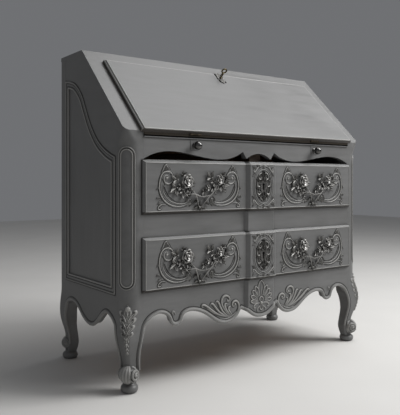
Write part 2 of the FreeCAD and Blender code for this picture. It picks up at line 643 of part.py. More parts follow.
save("hinge_pins", both_sides(hinge_pin))


# Flap lock: a case on the inner face, a bolt that shoots into the slant rail, and the key

lock_bottom = lock_top - LOCK_HEIGHT
lock_case = box(-LOCK_WIDTH / 2, LOCK_WIDTH / 2, lock_bottom, lock_top, -LOCK_DEPTH, 0)
lock_case = lock_case.cut(box(LOCK_WALL - LOCK_WIDTH / 2, LOCK_WIDTH / 2 - LOCK_WALL, lock_bottom + LOCK_WALL,
                              lock_top - LOCK_WALL, LOCK_WALL - LOCK_DEPTH, 0))
bolt_slot = box(-BOLT_WIDTH / 2 - BOLT_FIT, BOLT_WIDTH / 2 + BOLT_FIT, lock_top - 2 * LOCK_WALL,
                lock_top + LOCK_WALL, -bolt_back - BOLT_FIT, BOLT_FIT - BOLT_LEVEL)
save("flap_lock_case", on_slant(lock_case.cut(bolt_slot)))
shank_clear = KEY_SHANK_RADIUS + 3 * KEY_FIT
flap_bolt = box(-BOLT_WIDTH / 2, BOLT_WIDTH / 2, lock_top - BOLT_LENGTH, lock_top, -bolt_back, -BOLT_LEVEL)
flap_bolt = flap_bolt.cut(box(-shank_clear, shank_clear, key_place - shank_clear - BOLT_THROW,
                              key_place + shank_clear, -LOCK_DEPTH, 0))
save("flap_bolt", on_slant(flap_bolt))

bit_top = -bolt_back - 2 * BOLT_FIT
shank_end = FLAP_THICKNESS + KEY_SHANK_OUTSIDE
shank_start = bit_top - KEY_BIT_HEIGHT
shank = cylinder(KEY_SHANK_RADIUS, shank_end - shank_start, V(0, key_place, shank_start), V(0, 0, 1))
bit = box(-BOLT_THICKNESS / 2, BOLT_THICKNESS / 2, key_place - KEY_BIT_LENGTH, key_place,
          shank_start, bit_top)
bow = Part.makeTorus(KEY_BOW_RADIUS, KEY_BOW_WIRE, V(0, key_place, shank_end + KEY_BOW_RADIUS), V(0, 1, 0))
save("key", on_slant(shank.fuse([bit, bow])))
flap_plate = oval_plate(FLAP_ESCUTCHEON_WIDTH, FLAP_ESCUTCHEON_HEIGHT, ESCUTCHEON_THICKNESS)
flap_plate.translate(V(0, key_place, FLAP_THICKNESS))
save("flap_escutcheon", on_slant(flap_plate.cut(key_bore)))


# Lopers and their turned knobs

loper = box(LOPER_X - LOPER_WIDTH / 2, LOPER_X + LOPER_WIDTH / 2, -LOPER_PROUD, loper_length - LOPER_PROUD,
            loper_bottom, loper_top)
knob_at = V(LOPER_X, -LOPER_PROUD, loper_bottom + KNOB_RADIUS)
ball_centre = knob_at - V(0, KNOB_LENGTH - KNOB_RADIUS, 0)
knob = cylinder(KNOB_NECK_RADIUS, KNOB_LENGTH - KNOB_RADIUS, knob_at, V(0, -1, 0))
knob = knob.fuse(Part.makeSphere(KNOB_RADIUS, ball_centre)).removeSplitter()
for name, piece in (("loper", loper), ("loper_knob", knob)):
    save("right_" + name, piece)
    save("left_" + name, mirrored(piece))


# Main drawers, the same in both openings

def cast_pull(x, face, level):
    """A fixed pull cast as two roses on stems that meet at a foot below, standing clear of the drawer."""
    pieces = []
    forward = V(0, -1, 0)
    foot = V(x, face, level + PULL_FOOT_SHARE * drawer_opening)
    roses = [V(x + side * ROSE_SPREAD, face, level + ROSE_SHARE * drawer_opening) for side in (-1, 1)]
    meeting = foot + forward * STEM_STANDOFF
    pieces.append(cylinder(PULL_FOOT_RADIUS, STEM_STANDOFF + PULL_FOOT_RADIUS, foot, forward))
    swell = ROSE_HEIGHT / 3
    for rose in roses:
        pieces.append(cylinder(PULL_FOOT_RADIUS, swell, rose, forward))
        waist = rose + forward * swell
        rim = waist + forward * swell
        pieces.append(Part.makeCone(PULL_FOOT_RADIUS, ROSE_RADIUS, swell, waist, forward))
        pieces.append(Part.makeCone(ROSE_RADIUS, PULL_FOOT_RADIUS, swell, rim, forward))
        stem_top = rose + forward * STEM_STANDOFF
        pieces.append(cylinder(STEM_RADIUS, (meeting - stem_top).Length, stem_top, meeting - stem_top))
    return pieces[0].fuse(pieces[1:]).removeSplitter()


def drawer(prefix, level):
    """One drawer whose opening starts at the given height."""
    half = open_half - DRAWER_SIDE_FIT
    bottom = level + DRAWER_RUN_FIT
    top = level + drawer_opening - DRAWER_SIDE_FIT
    lip_half = open_half + LIP_OVERLAP
    plan = break_plan(lip_half - LIP_BEVEL, -LIP_PROUD, -LIP_FIT, BREAK_PROUD)
    plan[0:1] = [(-lip_half, -LIP_FIT), (-lip_half, LIP_BEVEL - LIP_PROUD)]
    plan[-1:] = [(lip_half, LIP_BEVEL - LIP_PROUD), (lip_half, -LIP_FIT)]
    lip = plan_board(plan, level - LIP_OVERLAP, level + drawer_opening + LIP_OVERLAP)
    front_edges = [edge for edge in lip.Edges
                   if edge.BoundBox.YMax < LIP_FIT - LIP_PROUD and edge.BoundBox.ZLength < LIP_FIT]
    lip = lip.makeChamfer(LIP_BEVEL, front_edges)
    rail_break = [(-break_base - LIP_FIT, 0), (-break_base - LIP_FIT, -LIP_FIT),
                  (-BREAK_HALF_WIDTH - LIP_FIT, -BREAK_PROUD - LIP_FIT),
                  (BREAK_HALF_WIDTH + LIP_FIT, -BREAK_PROUD - LIP_FIT),
                  (break_base + LIP_FIT, -LIP_FIT), (break_base + LIP_FIT, 0)]
    lip = lip.cut([plan_board(rail_break, level - 2 * LIP_OVERLAP, level),
                   plan_board(rail_break, level + drawer_opening, level + drawer_opening + 2 * LIP_OVERLAP)])
    body = box(-half, half, -LIP_FIT, DRAWER_FRONT_THICKNESS, bottom, top)
    save(prefix + "_front", lip.fuse(body).removeSplitter())

    inner = half - DRAWER_SIDE_THICKNESS
    end = DRAWER_FRONT_THICKNESS + drawer_length
    side_top = top - DRAWER_SIDE_DROP
    side = box(inner, half, DRAWER_FRONT_THICKNESS, end, bottom, side_top)
    save(prefix + "_sides", both_sides(side))
    save(prefix + "_back", box(-inner, inner, end - DRAWER_SIDE_THICKNESS, end, bottom, side_top))
    save(prefix + "_bottom", box(-inner, inner, DRAWER_FRONT_THICKNESS, end - DRAWER_SIDE_THICKNESS,
                                 bottom + DRAWER_BOTTOM_RAISE,
                                 bottom + DRAWER_BOTTOM_RAISE + DRAWER_BOTTOM_THICKNESS))

    save(prefix + "_pulls", both_sides(cast_pull(PULL_X, -LIP_PROUD, level)))
    keyhole = V(0, -LIP_PROUD - BREAK_PROUD, level + keyhole_rise)
    plate = oval_plate(ESCUTCHEON_SLIMNESS * escutcheon_height, escutcheon_height, ESCUTCHEON_THICKNESS)
    plate = plate.cut(Part.makeCylinder(KEYHOLE_RADIUS, 2 * ESCUTCHEON_THICKNESS))
    plate.rotate(V(0, 0, 0), V(1, 0, 0), 90)
    plate.translate(keyhole)
    save(prefix + "_escutcheon", plate)

    lock_back = DRAWER_FRONT_THICKNESS + DRAWER_LOCK_DEPTH
    case = box(-DRAWER_LOCK_WIDTH / 2, DRAWER_LOCK_WIDTH / 2, DRAWER_FRONT_THICKNESS, lock_back,
               top - drawer_lock_height, top)
    slot_bottom = top - drawer_lock_height + LOCK_WALL
    slot = box(-mortise_half, mortise_half, bolt_line - mortise_depth, bolt_line + mortise_depth,
               slot_bottom, top + LOCK_WALL)
    save(prefix + "_lock_case", case.cut(slot))
    save(prefix + "_bolt", box(-DRAWER_BOLT_WIDTH / 2, DRAWER_BOLT_WIDTH / 2, bolt_line - BOLT_THICKNESS / 2,
                               bolt_line + BOLT_THICKNESS / 2, slot_bottom + BOLT_FIT, top))


drawer("lower_drawer", APRON_TOP)
drawer("upper_drawer", divider_top)
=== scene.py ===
import bpy
import math
from mathutils import Matrix, Vector
from mathutils.bvhtree import BVHTree


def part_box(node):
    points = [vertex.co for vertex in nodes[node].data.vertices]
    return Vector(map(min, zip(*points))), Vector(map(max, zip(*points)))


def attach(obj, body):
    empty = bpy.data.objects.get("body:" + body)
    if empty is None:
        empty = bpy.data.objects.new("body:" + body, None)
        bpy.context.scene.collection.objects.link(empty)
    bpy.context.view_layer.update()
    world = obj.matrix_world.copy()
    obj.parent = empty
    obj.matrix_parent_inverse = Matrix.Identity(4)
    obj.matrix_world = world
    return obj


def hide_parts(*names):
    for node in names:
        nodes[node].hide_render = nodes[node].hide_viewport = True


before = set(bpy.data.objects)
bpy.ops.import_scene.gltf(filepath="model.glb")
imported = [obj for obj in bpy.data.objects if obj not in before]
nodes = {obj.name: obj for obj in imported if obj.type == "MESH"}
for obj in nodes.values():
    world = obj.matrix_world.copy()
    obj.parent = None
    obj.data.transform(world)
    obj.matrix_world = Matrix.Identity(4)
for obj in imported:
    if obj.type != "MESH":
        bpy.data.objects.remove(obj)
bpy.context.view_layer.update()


# Painted carcass: beech posts, rails, panels, aprons, top and lopers.
# They are brushed with satin grey chalk paint, with a dark wash in the corners that also paints
# their shade, and the paint rubbed a little lighter along the grain.
# The wash colour is painted shade in corners and low places; the crest colour is rubbed paint that also
# stands in for highlight.
SHADE, LIT, SHADE_WASH = (0.124, 0.124, 0.122, 1), (0.162, 0.162, 0.161, 1), (0.022, 0.021, 0.019, 1)
CREST = (0.33, 0.325, 0.31, 1)
STROKES_WIDE, STROKES_UPRIGHT, STROKES_DEEP = (0.12, 1, 1), (1, 1, 0.12), (1, 0.12, 1)


def node_group(name, inputs, outputs):
    group = bpy.data.node_groups.new(name, "ShaderNodeTree")
    for label, kind, value in inputs:
        socket = group.interface.new_socket(label, in_out="INPUT", socket_type="NodeSocket" + kind)
        socket.default_value = value
    for label, kind in outputs:
        group.interface.new_socket(label, in_out="OUTPUT", socket_type="NodeSocket" + kind)
    return group, group.nodes.new("NodeGroupInput"), group.nodes.new("NodeGroupOutput")


def add(tree, kind, links=None, **settings):
    node = tree.nodes.new(kind)
    for key, value in settings.items():
        setattr(node, key, value)
    for socket, value in (links or {}).items():
        if isinstance(value, bpy.types.NodeSocket):
            tree.links.new(value, node.inputs[socket])
        else:
            node.inputs[socket].default_value = value
    return node


def here(tree):
    return add(tree, "ShaderNodeTexCoord").outputs["Object"]


def drawn_out(tree, group_in):
    """Places drawn out along a board."""
    links = {"Vector": here(tree), "Scale": group_in.outputs["Along"]}
    return add(tree, "ShaderNodeMapping", links).outputs[0]


def noise(tree, vector, scale, detail, **more):
    links = {"Vector": vector, "Scale": scale, "Detail": detail}
    return add(tree, "ShaderNodeTexNoise", {**links, **more}).outputs["Fac"]


def calc(tree, operation, first, second, use_clamp=False):
    node = add(tree, "ShaderNodeMath", {0: first, 1: second}, operation=operation, use_clamp=use_clamp)
    return node.outputs[0]


def mix(tree, share, first, second):
    return add(tree, "ShaderNodeMix", {0: share, 6: first, 7: second}, data_type="RGBA").outputs[2]


def spread(tree, value, low, high, to_low=0.0, to_high=1.0):
    return add(tree, "ShaderNodeMapRange", {"Value": value, "From Min": low, "From Max": high,
                                            "To Min": to_low, "To Max": to_high}).outputs[0]


def openness(tree, distance):
    """How open a place lies, dark in corners."""
    return add(tree, "ShaderNodeAmbientOcclusion", {"Distance": distance}, samples=8).outputs["AO"]


def raised(tree):
    """How far a carved place stands up, as it was marked on the mesh; high places are painted lighter as
    highlight and low ones darker as shade.
    """
    return add(tree, "ShaderNodeAttribute", attribute_name="relief").outputs["Fac"]


def short_of(tree, axis, limit):
    """A mask of the faces that lie short of a plane across axis."""
    depth = add(tree, "ShaderNodeVectorMath", {0: here(tree), 1: axis}, operation="DOT_PRODUCT")
    return calc(tree, "LESS_THAN", depth.outputs["Value"], limit)


def coat(name):
    """A new material with its tree and shader."""
    material = bpy.data.materials.new(name)
    material.use_nodes = True
    return material, material.node_tree, material.node_tree.nodes["Principled BSDF"]


def dress(tree, shader, colour, roughness, height, strength, distance, invert=False):
    """Joins colour, sheen and a fine unevenness to a shader."""
    links = {"Height": height, "Strength": strength, "Distance": distance}
    bump = add(tree, "ShaderNodeBump", links, invert=invert)
    for socket, value in (("Base Color", colour), ("Roughness", roughness), ("Normal", bump.outputs[0])):
        tree.links.new(value, shader.inputs[socket])


def cover(finish, *members):
    for member in members:
        nodes[member].data.materials.clear()
        nodes[member].data.materials.append(finish)


brushed, brushed_in, brushed_out = node_group(
    "brushed_paint", (("Along", "Vector", (1, 1, 1)), ("ShadeWash", "Float", 0.5)),
    (("Tone", "Float"), ("ShadeWash", "Float"), ("Height", "Float")))
strokes = noise(brushed, drawn_out(brushed, brushed_in), 60.0, 5.0, Roughness=0.6)
clouds = noise(brushed, here(brushed), 5.0, 3.0)
halved = calc(brushed, "MULTIPLY", calc(brushed, "ADD", strokes, clouds), 0.5)
# Painted shade: the wash is laid where ambient occlusion finds a corner.
hidden = calc(brushed, "SUBTRACT", 1.0, openness(brushed, 0.013))
corner_shade = calc(brushed, "MULTIPLY", hidden, brushed_in.outputs["ShadeWash"], True)
for label, value in (("Tone", spread(brushed, halved, 0.36, 0.64)), ("ShadeWash", corner_shade), ("Height", strokes)):
    brushed.links.new(value, brushed_out.inputs[label])


def paint(name, along, shade_wash, carved=False, bare=()):
    """Grey paint brushed along a board, with places that stay bare and a wash that paints shade in corners.
    On carving, crests are rubbed lighter, which also paints their highlight, and low places and cut lines
    are painted dark as shade.
    """
    material, tree, shader = coat(name)
    shader.inputs["Specular IOR Level"].default_value = 0.42
    worked = add(tree, "ShaderNodeGroup", {"Along": along, "ShadeWash": shade_wash}, node_tree=brushed).outputs
    colour = mix(tree, worked["Tone"], SHADE, LIT)
    if carved:
        relief = raised(tree)
        # Crests rubbed lighter, which also paints their highlight; low places and cut lines painted dark as
        # shade.
        colour = mix(tree, spread(tree, relief, 0.45, 1.0), colour, CREST)
        colour = mix(tree, spread(tree, relief, 0.0, 0.4, 0.95, 0.0), colour, SHADE_WASH)
    # Painted shade in the corners, from the wash.
    colour = mix(tree, worked["ShadeWash"], colour, SHADE_WASH)
    for axis, limit, timber in bare:
        if timber == "oak":
            board = add(tree, "ShaderNodeGroup", {"Along": along}, node_tree=grain)
            timber = mix(tree, board.outputs["Tone"], (0.15, 0.080, 0.035, 1), (0.40, 0.25, 0.125, 1))
        colour = mix(tree, short_of(tree, axis, limit), colour, timber)
    sheen = spread(tree, worked["Tone"], 0.0, 1.0, 0.36, 0.52)
    dress(tree, shader, colour, sheen, worked["Height"], 0.25, 0.0006)
    return material


paint_wide = paint("grey_paint_wide", STROKES_WIDE, 0.75)
paint_upright = paint("grey_paint_upright", STROKES_UPRIGHT, 0.75)
paint_deep = paint("grey_paint_deep", STROKES_DEEP, 0.75)
paint_carved = paint("grey_paint_carved", (0.6, 0.6, 0.6), 0.60, carved=True)
paint_panel = paint("grey_paint_panel", STROKES_UPRIGHT, 0.30)
cover(paint_wide, "rear_rail", "top_board", "slant_top_rail", "divider_rail", "front_apron", "frieze_rail")
cover(paint_deep, "slant_stiles")
for side in ("left", "right"):
    cover(paint_upright, side + "_front_post", side + "_rear_post")
    cover(paint_deep, side + "_side_upper_rail", side + "_side_apron")
    cover(paint_wide, side + "_loper")
    cover(paint_panel, side + "_side_panel")


# Drawer fronts: solid beech fronts with a bevelled lip, painted like the carcass.
# The lower bevel is painted dark: painted shade on a face that looks down, with some dark wear.
DRAWERS = ("upper", "lower")
UP = (0, 0, 1)
BEVEL_HEIGHT = 0.0064
for level in DRAWERS:
    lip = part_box(level + "_drawer_front")[0].z + BEVEL_HEIGHT
    # Painted shade: below lip the lower bevel is coloured dark, with some wear in it.
    front_paint = paint("grey_paint_" + level + "_front", STROKES_WIDE, 0.40,
                        bare=((UP, lip, (0.040, 0.036, 0.032, 1)),))
    cover(front_paint, level + "_drawer_front")


# Unpainted insides: back panel, writing bed, gallery, drawer boxes, runners and guides.
# They are waxed oak boards, the grain along each board. The bed's front edge is painted: a light grey
# strip, and above it a black line and a dark band painted as the shade in the joint and under the flap.
EARLY_WOOD, LATE_WOOD, PORE = (0.24, 0.132, 0.060), (0.40, 0.25, 0.128), (0.17, 0.095, 0.042)
GRAIN_WIDE, GRAIN_DEEP = (0.1, 1, 1), (1, 0.1, 1)
SHADOW_LINE_TOP, STRIP_TOP, EDGE_DEPTH = 0.7232, 0.7190, 0.0036
grain, grain_in, grain_out = node_group("oak_grain", (("Along", "Vector", (1, 1, 1)),),
                                        (("Tone", "Float"), ("Pore", "Float")))
drawn = drawn_out(grain, grain_in)
rings = noise(grain, drawn, 30.0, 6.0, Distortion=0.4)
pores = spread(grain, noise(grain, drawn, 620.0, 2.0), 0.52, 0.7)
grain.links.new(rings, grain_out.inputs["Tone"])
grain.links.new(pores, grain_out.inputs["Pore"])


def oak(name, along, shade_factor=1.0, edge=None):
    """Waxed oak with its grain along a board, painted in front of edge if that is given: a light grey strip
    under a black line and a dark band that are painted shade, the sheen taken off the painted edge.
    """
    material, tree, shader = coat(name)
    board = add(tree, "ShaderNodeGroup", {"Along": along}, node_tree=grain).outputs
    early, late, pore = ([shade_factor * part for part in wood] + [1] for wood in (EARLY_WOOD, LATE_WOOD, PORE))
    colour = mix(tree, board["Pore"], mix(tree, board["Tone"], early, late), pore)
    if edge:
        front = short_of(tree, (0, 1, 0), edge)
        # Painted shade: a dark band and a black line above the light strip, for the shade in the joint under
        # the flap.
        shadow_band = mix(tree, short_of(tree, UP, SHADOW_LINE_TOP), (0.050, 0.044, 0.037, 1), (0.003, 0.003, 0.003, 1))
        colour = mix(tree, front, colour, mix(tree, short_of(tree, UP, STRIP_TOP), shadow_band, LIT))
        # The painted edge loses its sheen so that its painted shade stays dark.
        tree.links.new(spread(tree, front, 0.0, 1.0, 0.5, 0.0), shader.inputs["Specular IOR Level"])
    wax = spread(tree, board["Pore"], 0.0, 1.0, 0.42, 0.7)
    dress(tree, shader, colour, wax, board["Pore"], 0.2, 0.0004, True)
    return material


oak_wide = oak("oak_along_width", GRAIN_WIDE)
oak_deep = oak("oak_along_depth", GRAIN_DEEP)
cover(oak_wide, "back_panel", "gallery_shelf", "dust_board")
cover(oak_deep, "loper_guides", "drawer_runners", "gallery_dividers")
for level in DRAWERS:
    cover(oak_wide, level + "_drawer_back", level + "_drawer_bottom")
    cover(oak_deep, level + "_drawer_sides")
for side in ("left", "right"):
    cover(oak_wide, side + "_small_drawer_front")
    cover(oak_deep, side + "_small_drawer_box")
# The lock keeper sits in the dark behind the frieze arch; its oak is darkened as painted shade.
cover(oak("shade_darkened_oak", GRAIN_WIDE, 0.16), "lock_keeper")
cover(oak("oak_bed_painted_edge", GRAIN_WIDE, 1.0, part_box("writing_bed")[0].y + EDGE_DEPTH), "writing_bed")


# Fall flap board: painted like the carcass outside, bare oak on the inner face that is written on.
# A band along the lower edge of the face is painted light as a highlight, and the end below it is painted
# near black, for its bare end grain and the shade it lies in.
BREAK_DEPTH, BREAK_INNER, BREAK_OUTER = 0.0107, 0.0536, 0.0643
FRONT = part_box("divider_rail")[0].y + BREAK_DEPTH
HINGE = Vector((0, FRONT - 0.00409, 0.730))
SLANT_OUT, SLANT_UP = Vector((0, -0.69918, 0.71495)), Vector((0, 0.71495, 0.69918))
FLAP_FOOT = HINGE.dot(SLANT_UP)
paint_flap = paint("grey_paint_flap", STROKES_WIDE, 0.75,
                   # Painted highlight: the band along the lower edge of the face; near black: the end, bare
                   # and in shade.
                   bare=((SLANT_UP, FLAP_FOOT + 0.0032, CREST),
                         (SLANT_OUT, HINGE.dot(SLANT_OUT) + 0.0006, "oak"),
                         (SLANT_UP, FLAP_FOOT + 0.0008, (0.034, 0.028, 0.023, 1))))
cover(paint_flap, "flap_board")


# Metal fittings left as they come from the bench: hinges, locks, bolts, strike and little knobs.
# The hinges are blackened brass, the knobs of the small drawers aged brass, the locks and bolts dull steel.
def metal(name, colour, worn, roughness, tarnish, rubbed=None):
    """Spotted metal, dark in its corners, its high places rubbed if a colour for them is given."""
    material, tree, shader = coat(name)
    shader.inputs["Metallic"].default_value = 1.0
    spots = noise(tree, here(tree), 90.0, 4.0)
    tone = mix(tree, spread(tree, spots, 0.35, 0.7), colour, worn)
    if rubbed:
        tone = mix(tree, spread(tree, raised(tree), 0.38, 1.0), tone, rubbed)
    tone = mix(tree, spread(tree, openness(tree, 0.008), 0.28, 0.80), tarnish, tone)
    rough = spread(tree, spots, 0.0, 1.0, roughness - 0.08, roughness + 0.12)
    dress(tree, shader, tone, rough, spots, 0.12, 0.0004)
    return material


brass = metal("aged_brass", (0.115, 0.090, 0.042, 1), (0.060, 0.047, 0.023, 1), 0.34,
              (0.016, 0.012, 0.007, 1))
blacked = metal("blackened_brass", (0.060, 0.049, 0.035, 1), (0.032, 0.027, 0.020, 1), 0.55,
                (0.012, 0.010, 0.008, 1))
steel = metal("dull_steel", (0.42, 0.41, 0.40, 1), (0.27, 0.26, 0.25, 1), 0.42, (0.06, 0.06, 0.06, 1))
pewter = metal("dark_pewter", (0.090, 0.088, 0.084, 1), (0.045, 0.044, 0.041, 1), 0.50,
               (0.004, 0.004, 0.004, 1), (0.42, 0.413, 0.40, 1))
# Near black for the keyholes: painted shade inside the hole.
keyhole_shade = metal("keyhole_painted_shade", (0.006, 0.006, 0.006, 1), (0.003, 0.003, 0.003, 1), 0.8,
             (0.001, 0.001, 0.001, 1))
bright = metal("dark_polish", (0.12, 0.118, 0.115, 1), (0.07, 0.069, 0.067, 1), 0.20, (0.05, 0.05, 0.05, 1))
cover(steel, "flap_strike", "flap_lock_case", "flap_bolt")
for level in DRAWERS:
    cover(steel, level + "_drawer_lock_case", level + "_drawer_bolt")
cover(brass, "left_small_drawer_knob", "right_small_drawer_knob")
cover(pewter, "flap_escutcheon")
cover(blacked, "bed_hinge_leaves", "hinge_pins", "flap_hinge_leaves")


# Front corner posts: each is one beech piece with its cabriole leg, reeded scroll and bun foot.
# The leg is sawn to its curves and rounded by hand, the scroll is carved, and all of it is painted.
PLAIN = 0.43
SIDE_FACE = 492.5
POST_HEAD = 0.734
ROUND_SHARE = 0.6
SCROLL_HEIGHT = 0.052


def mm(size):
    """Metres from millimetres, for one number or any nest of them."""
    return size / 1000 if isinstance(size, (int, float)) else tuple(mm(part) for part in size)


def clamp(share):
    return max(0.0, min(1.0, share))


def deselect():
    if bpy.context.object and bpy.context.object.mode != "OBJECT":
        bpy.ops.object.mode_set(mode="OBJECT")
    bpy.ops.object.select_all(action="DESELECT")


def only(piece):
    deselect()
    piece.select_set(True)
    bpy.context.view_layer.objects.active = piece


def open_mesh(piece):
    """Opens a piece for work on all of its mesh."""
    only(piece)
    bpy.ops.object.mode_set(mode="EDIT")
    bpy.ops.mesh.select_all(action="SELECT")


def along(points, share):
    """A place on a smooth line through points, share 0 to 1 of the way."""
    spot = share * (len(points) - 1)
    index = min(int(spot), len(points) - 2)
    f = spot - index
    before, start, end, after = (Vector(points[max(0, min(len(points) - 1, index + step))])
                                 for step in (-1, 0, 1, 2))
    return 0.5 * (2 * start + (end - before) * f + (2 * before - 5 * start + 4 * end - after) * f * f
                  + (3 * start - before - 3 * end + after) * f ** 3)


def outward(piece):
    """Closes a mesh, merges its seams and points its faces outwards."""
    open_mesh(piece)
    bpy.ops.mesh.remove_doubles(threshold=0.00002)
    bpy.ops.mesh.fill_holes(sides=0)
    bpy.ops.mesh.select_all(action="SELECT")
    bpy.ops.mesh.normals_make_consistent(inside=False)
    bpy.ops.object.mode_set(mode="OBJECT")
    bpy.ops.object.shade_smooth_by_angle(angle=math.radians(42))
    return piece


def grid(columns, rows):
    """A flat net of points, -1 to 1 both ways."""
    deselect()
    bpy.ops.mesh.primitive_grid_add(x_subdivisions=columns, y_subdivisions=rows, size=2)
    return bpy.context.object


def skin(rows, around, place):
    """A closed skin laid ring by ring from foot to head, place gives a point from both shares."""
    piece = grid(around, rows)
    for vertex in piece.data.vertices:
        vertex.co = place((vertex.co.y + 1) / 2, (vertex.co.x + 1) / 2)
    return outward(piece)


def turned(profile, start, axis, rows=24, around=32):
    """A piece turned on the lathe from radius and length pairs, standing on start along axis."""
    turn = Vector(UP).rotation_difference(Vector(axis)).to_matrix()

    def place(share, round_share):
        radius, length = along(profile, share)
        angle = 2 * math.pi * round_share
        return Vector(start) + turn @ Vector((radius * math.cos(angle), radius * math.sin(angle), length))
    return skin(rows, around, place)


def relief_of(piece):
    return piece.data.attributes.get("relief") or piece.data.attributes.new("relief", "FLOAT", "POINT")


def mark(piece, value):
    """Notes how far each point stands up from the ground of the carving; the level paints high points
    lighter as highlight and low ones dark as shade.
    """
    relief = relief_of(piece)
    for index, vertex in enumerate(piece.data.vertices):
        relief.data[index].value = value(vertex.co) if callable(value) else value
    return piece


def gather(pieces):
    deselect()
    for piece in pieces:
        piece.select_set(True)
    bpy.context.view_layer.objects.active = pieces[0]
    bpy.ops.object.join()
    return bpy.context.object


def twin_of(piece):
    """The same piece again, with its own mesh."""
    twin = piece.copy()
    twin.data = piece.data.copy()
    bpy.context.scene.collection.objects.link(twin)
    return twin


def finish_piece(piece, name, body, material, stands_for=()):
    piece.name = name
    piece.data.name = name
    piece.data.materials.clear()
    piece.data.materials.append(material)
    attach(piece, body)
    if stands_for:
        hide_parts(*stands_for)
    return piece


def finish_carving(piece, name, body="carcass"):
    return finish_piece(piece, name, body, paint_carved)


def finish_pair(right, name, material, stands_for=None):
    """Finishes a piece of the right side and its mirror image for the left side, which it returns."""
    left = twin_of(right)
    left.data.transform(Matrix.Diagonal((-1, 1, 1, 1)))
    open_mesh(left)
    bpy.ops.mesh.flip_normals()
    bpy.ops.object.mode_set(mode="OBJECT")
    for side, piece in (("right_", right), ("left_", left)):
        replaced = [side + stands_for] if stands_for else ()
        finish_piece(piece, side + name, "carcass", material, replaced)
    return left


def meshed(curve):
    """The mesh of a drawn curve."""
    piece = bpy.data.objects.new(curve.name, curve)
    bpy.context.scene.collection.objects.link(piece)
    only(piece)
    bpy.ops.object.convert(target="MESH")
    return bpy.context.object


def strand(points, radii, closed=False, sides=2, steps=4):
    """A round carved line of changing thickness through points."""
    curve = bpy.data.curves.new("strand", "CURVE")
    curve.dimensions = "3D"
    curve.bevel_depth = 1.0
    curve.bevel_resolution = sides
    curve.use_fill_caps = not closed
    curve.resolution_u = steps
    spline = curve.splines.new("NURBS")
    last = len(points) - 1
    spline.points.add(last)
    for index, spot in enumerate(points):
        spline.points[index].co = (spot[0], spot[1], spot[2] if len(spot) > 2 else 0.0, 1.0)
        even = isinstance(radii, float)
        spline.points[index].radius = radii if even else along([(r, r) for r in radii], index / last)[0]
    spline.use_cyclic_u = closed
    spline.order_u = 3
    spline.use_endpoint_u = not closed
    return meshed(curve)


def carved_line(points, radii, level, **settings):
    """A closed strand, marked with the level given: high levels paint it light as highlight, low ones dark
    as shade.
    """
    return mark(outward(strand(points, radii, **settings)), level)


def saw(piece, spot, normal, **waste):
    """Cuts a mesh along a plane, and drops the waste on one side if that is given."""
    open_mesh(piece)
    bpy.ops.mesh.bisect(plane_co=spot, plane_no=normal, use_fill=bool(waste), **waste)
    bpy.ops.object.mode_set(mode="OBJECT")


def leg_flush(height):
    """How far a leg has come flush with the carcass at a height."""
    return clamp((height - 148) / 40)


def leg_point(station, round_share, at_back):
    """A point on the rounded outline of a right-hand leg, the outer edge rounded most."""
    height, x0, x1, y0, y1, outer = station
    small = min(5.0 - 4.6 * clamp((height - 162) / 24), outer)
    radii = (small, small, outer, small) if at_back else (small, outer, small, small)
    corners = ((x0 + radii[0], y0 + radii[0]), (x1 - radii[1], y0 + radii[1]),
               (x1 - radii[2], y1 - radii[2]), (x0 + radii[3], y1 - radii[3]))
    quarter = int(4 * round_share) % 4
    f = 4 * round_share - int(4 * round_share)

    def arc(index, share):
        angle = math.pi * (1 + 0.5 * index + 0.5 * share)
        x, y = corners[index]
        return (x + radii[index] * math.cos(angle), y + radii[index] * math.sin(angle))
    if f < ROUND_SHARE:
        x, y = arc(quarter, f / ROUND_SHARE)
    else:
        first, last = arc(quarter, 1), arc((quarter + 1) % 4, 0)
        x, y = (a + (b - a) * (f - ROUND_SHARE) / (1 - ROUND_SHARE) for a, b in zip(first, last))
    inner, rear, flush = (x1 - x) / (x1 - x0), (y - y0) / (y1 - y0), leg_flush(height)
    if at_back:
        x -= (1 - inner) * (1 - rear) * flush * (x1 - SIDE_FACE)
    else:
        y -= inner * (1 - rear) * flush * y0
        x -= (1 - inner) * rear * flush * (x1 - SIDE_FACE)
    return Vector((x / 1000, FRONT + y / 1000, height / 1000))


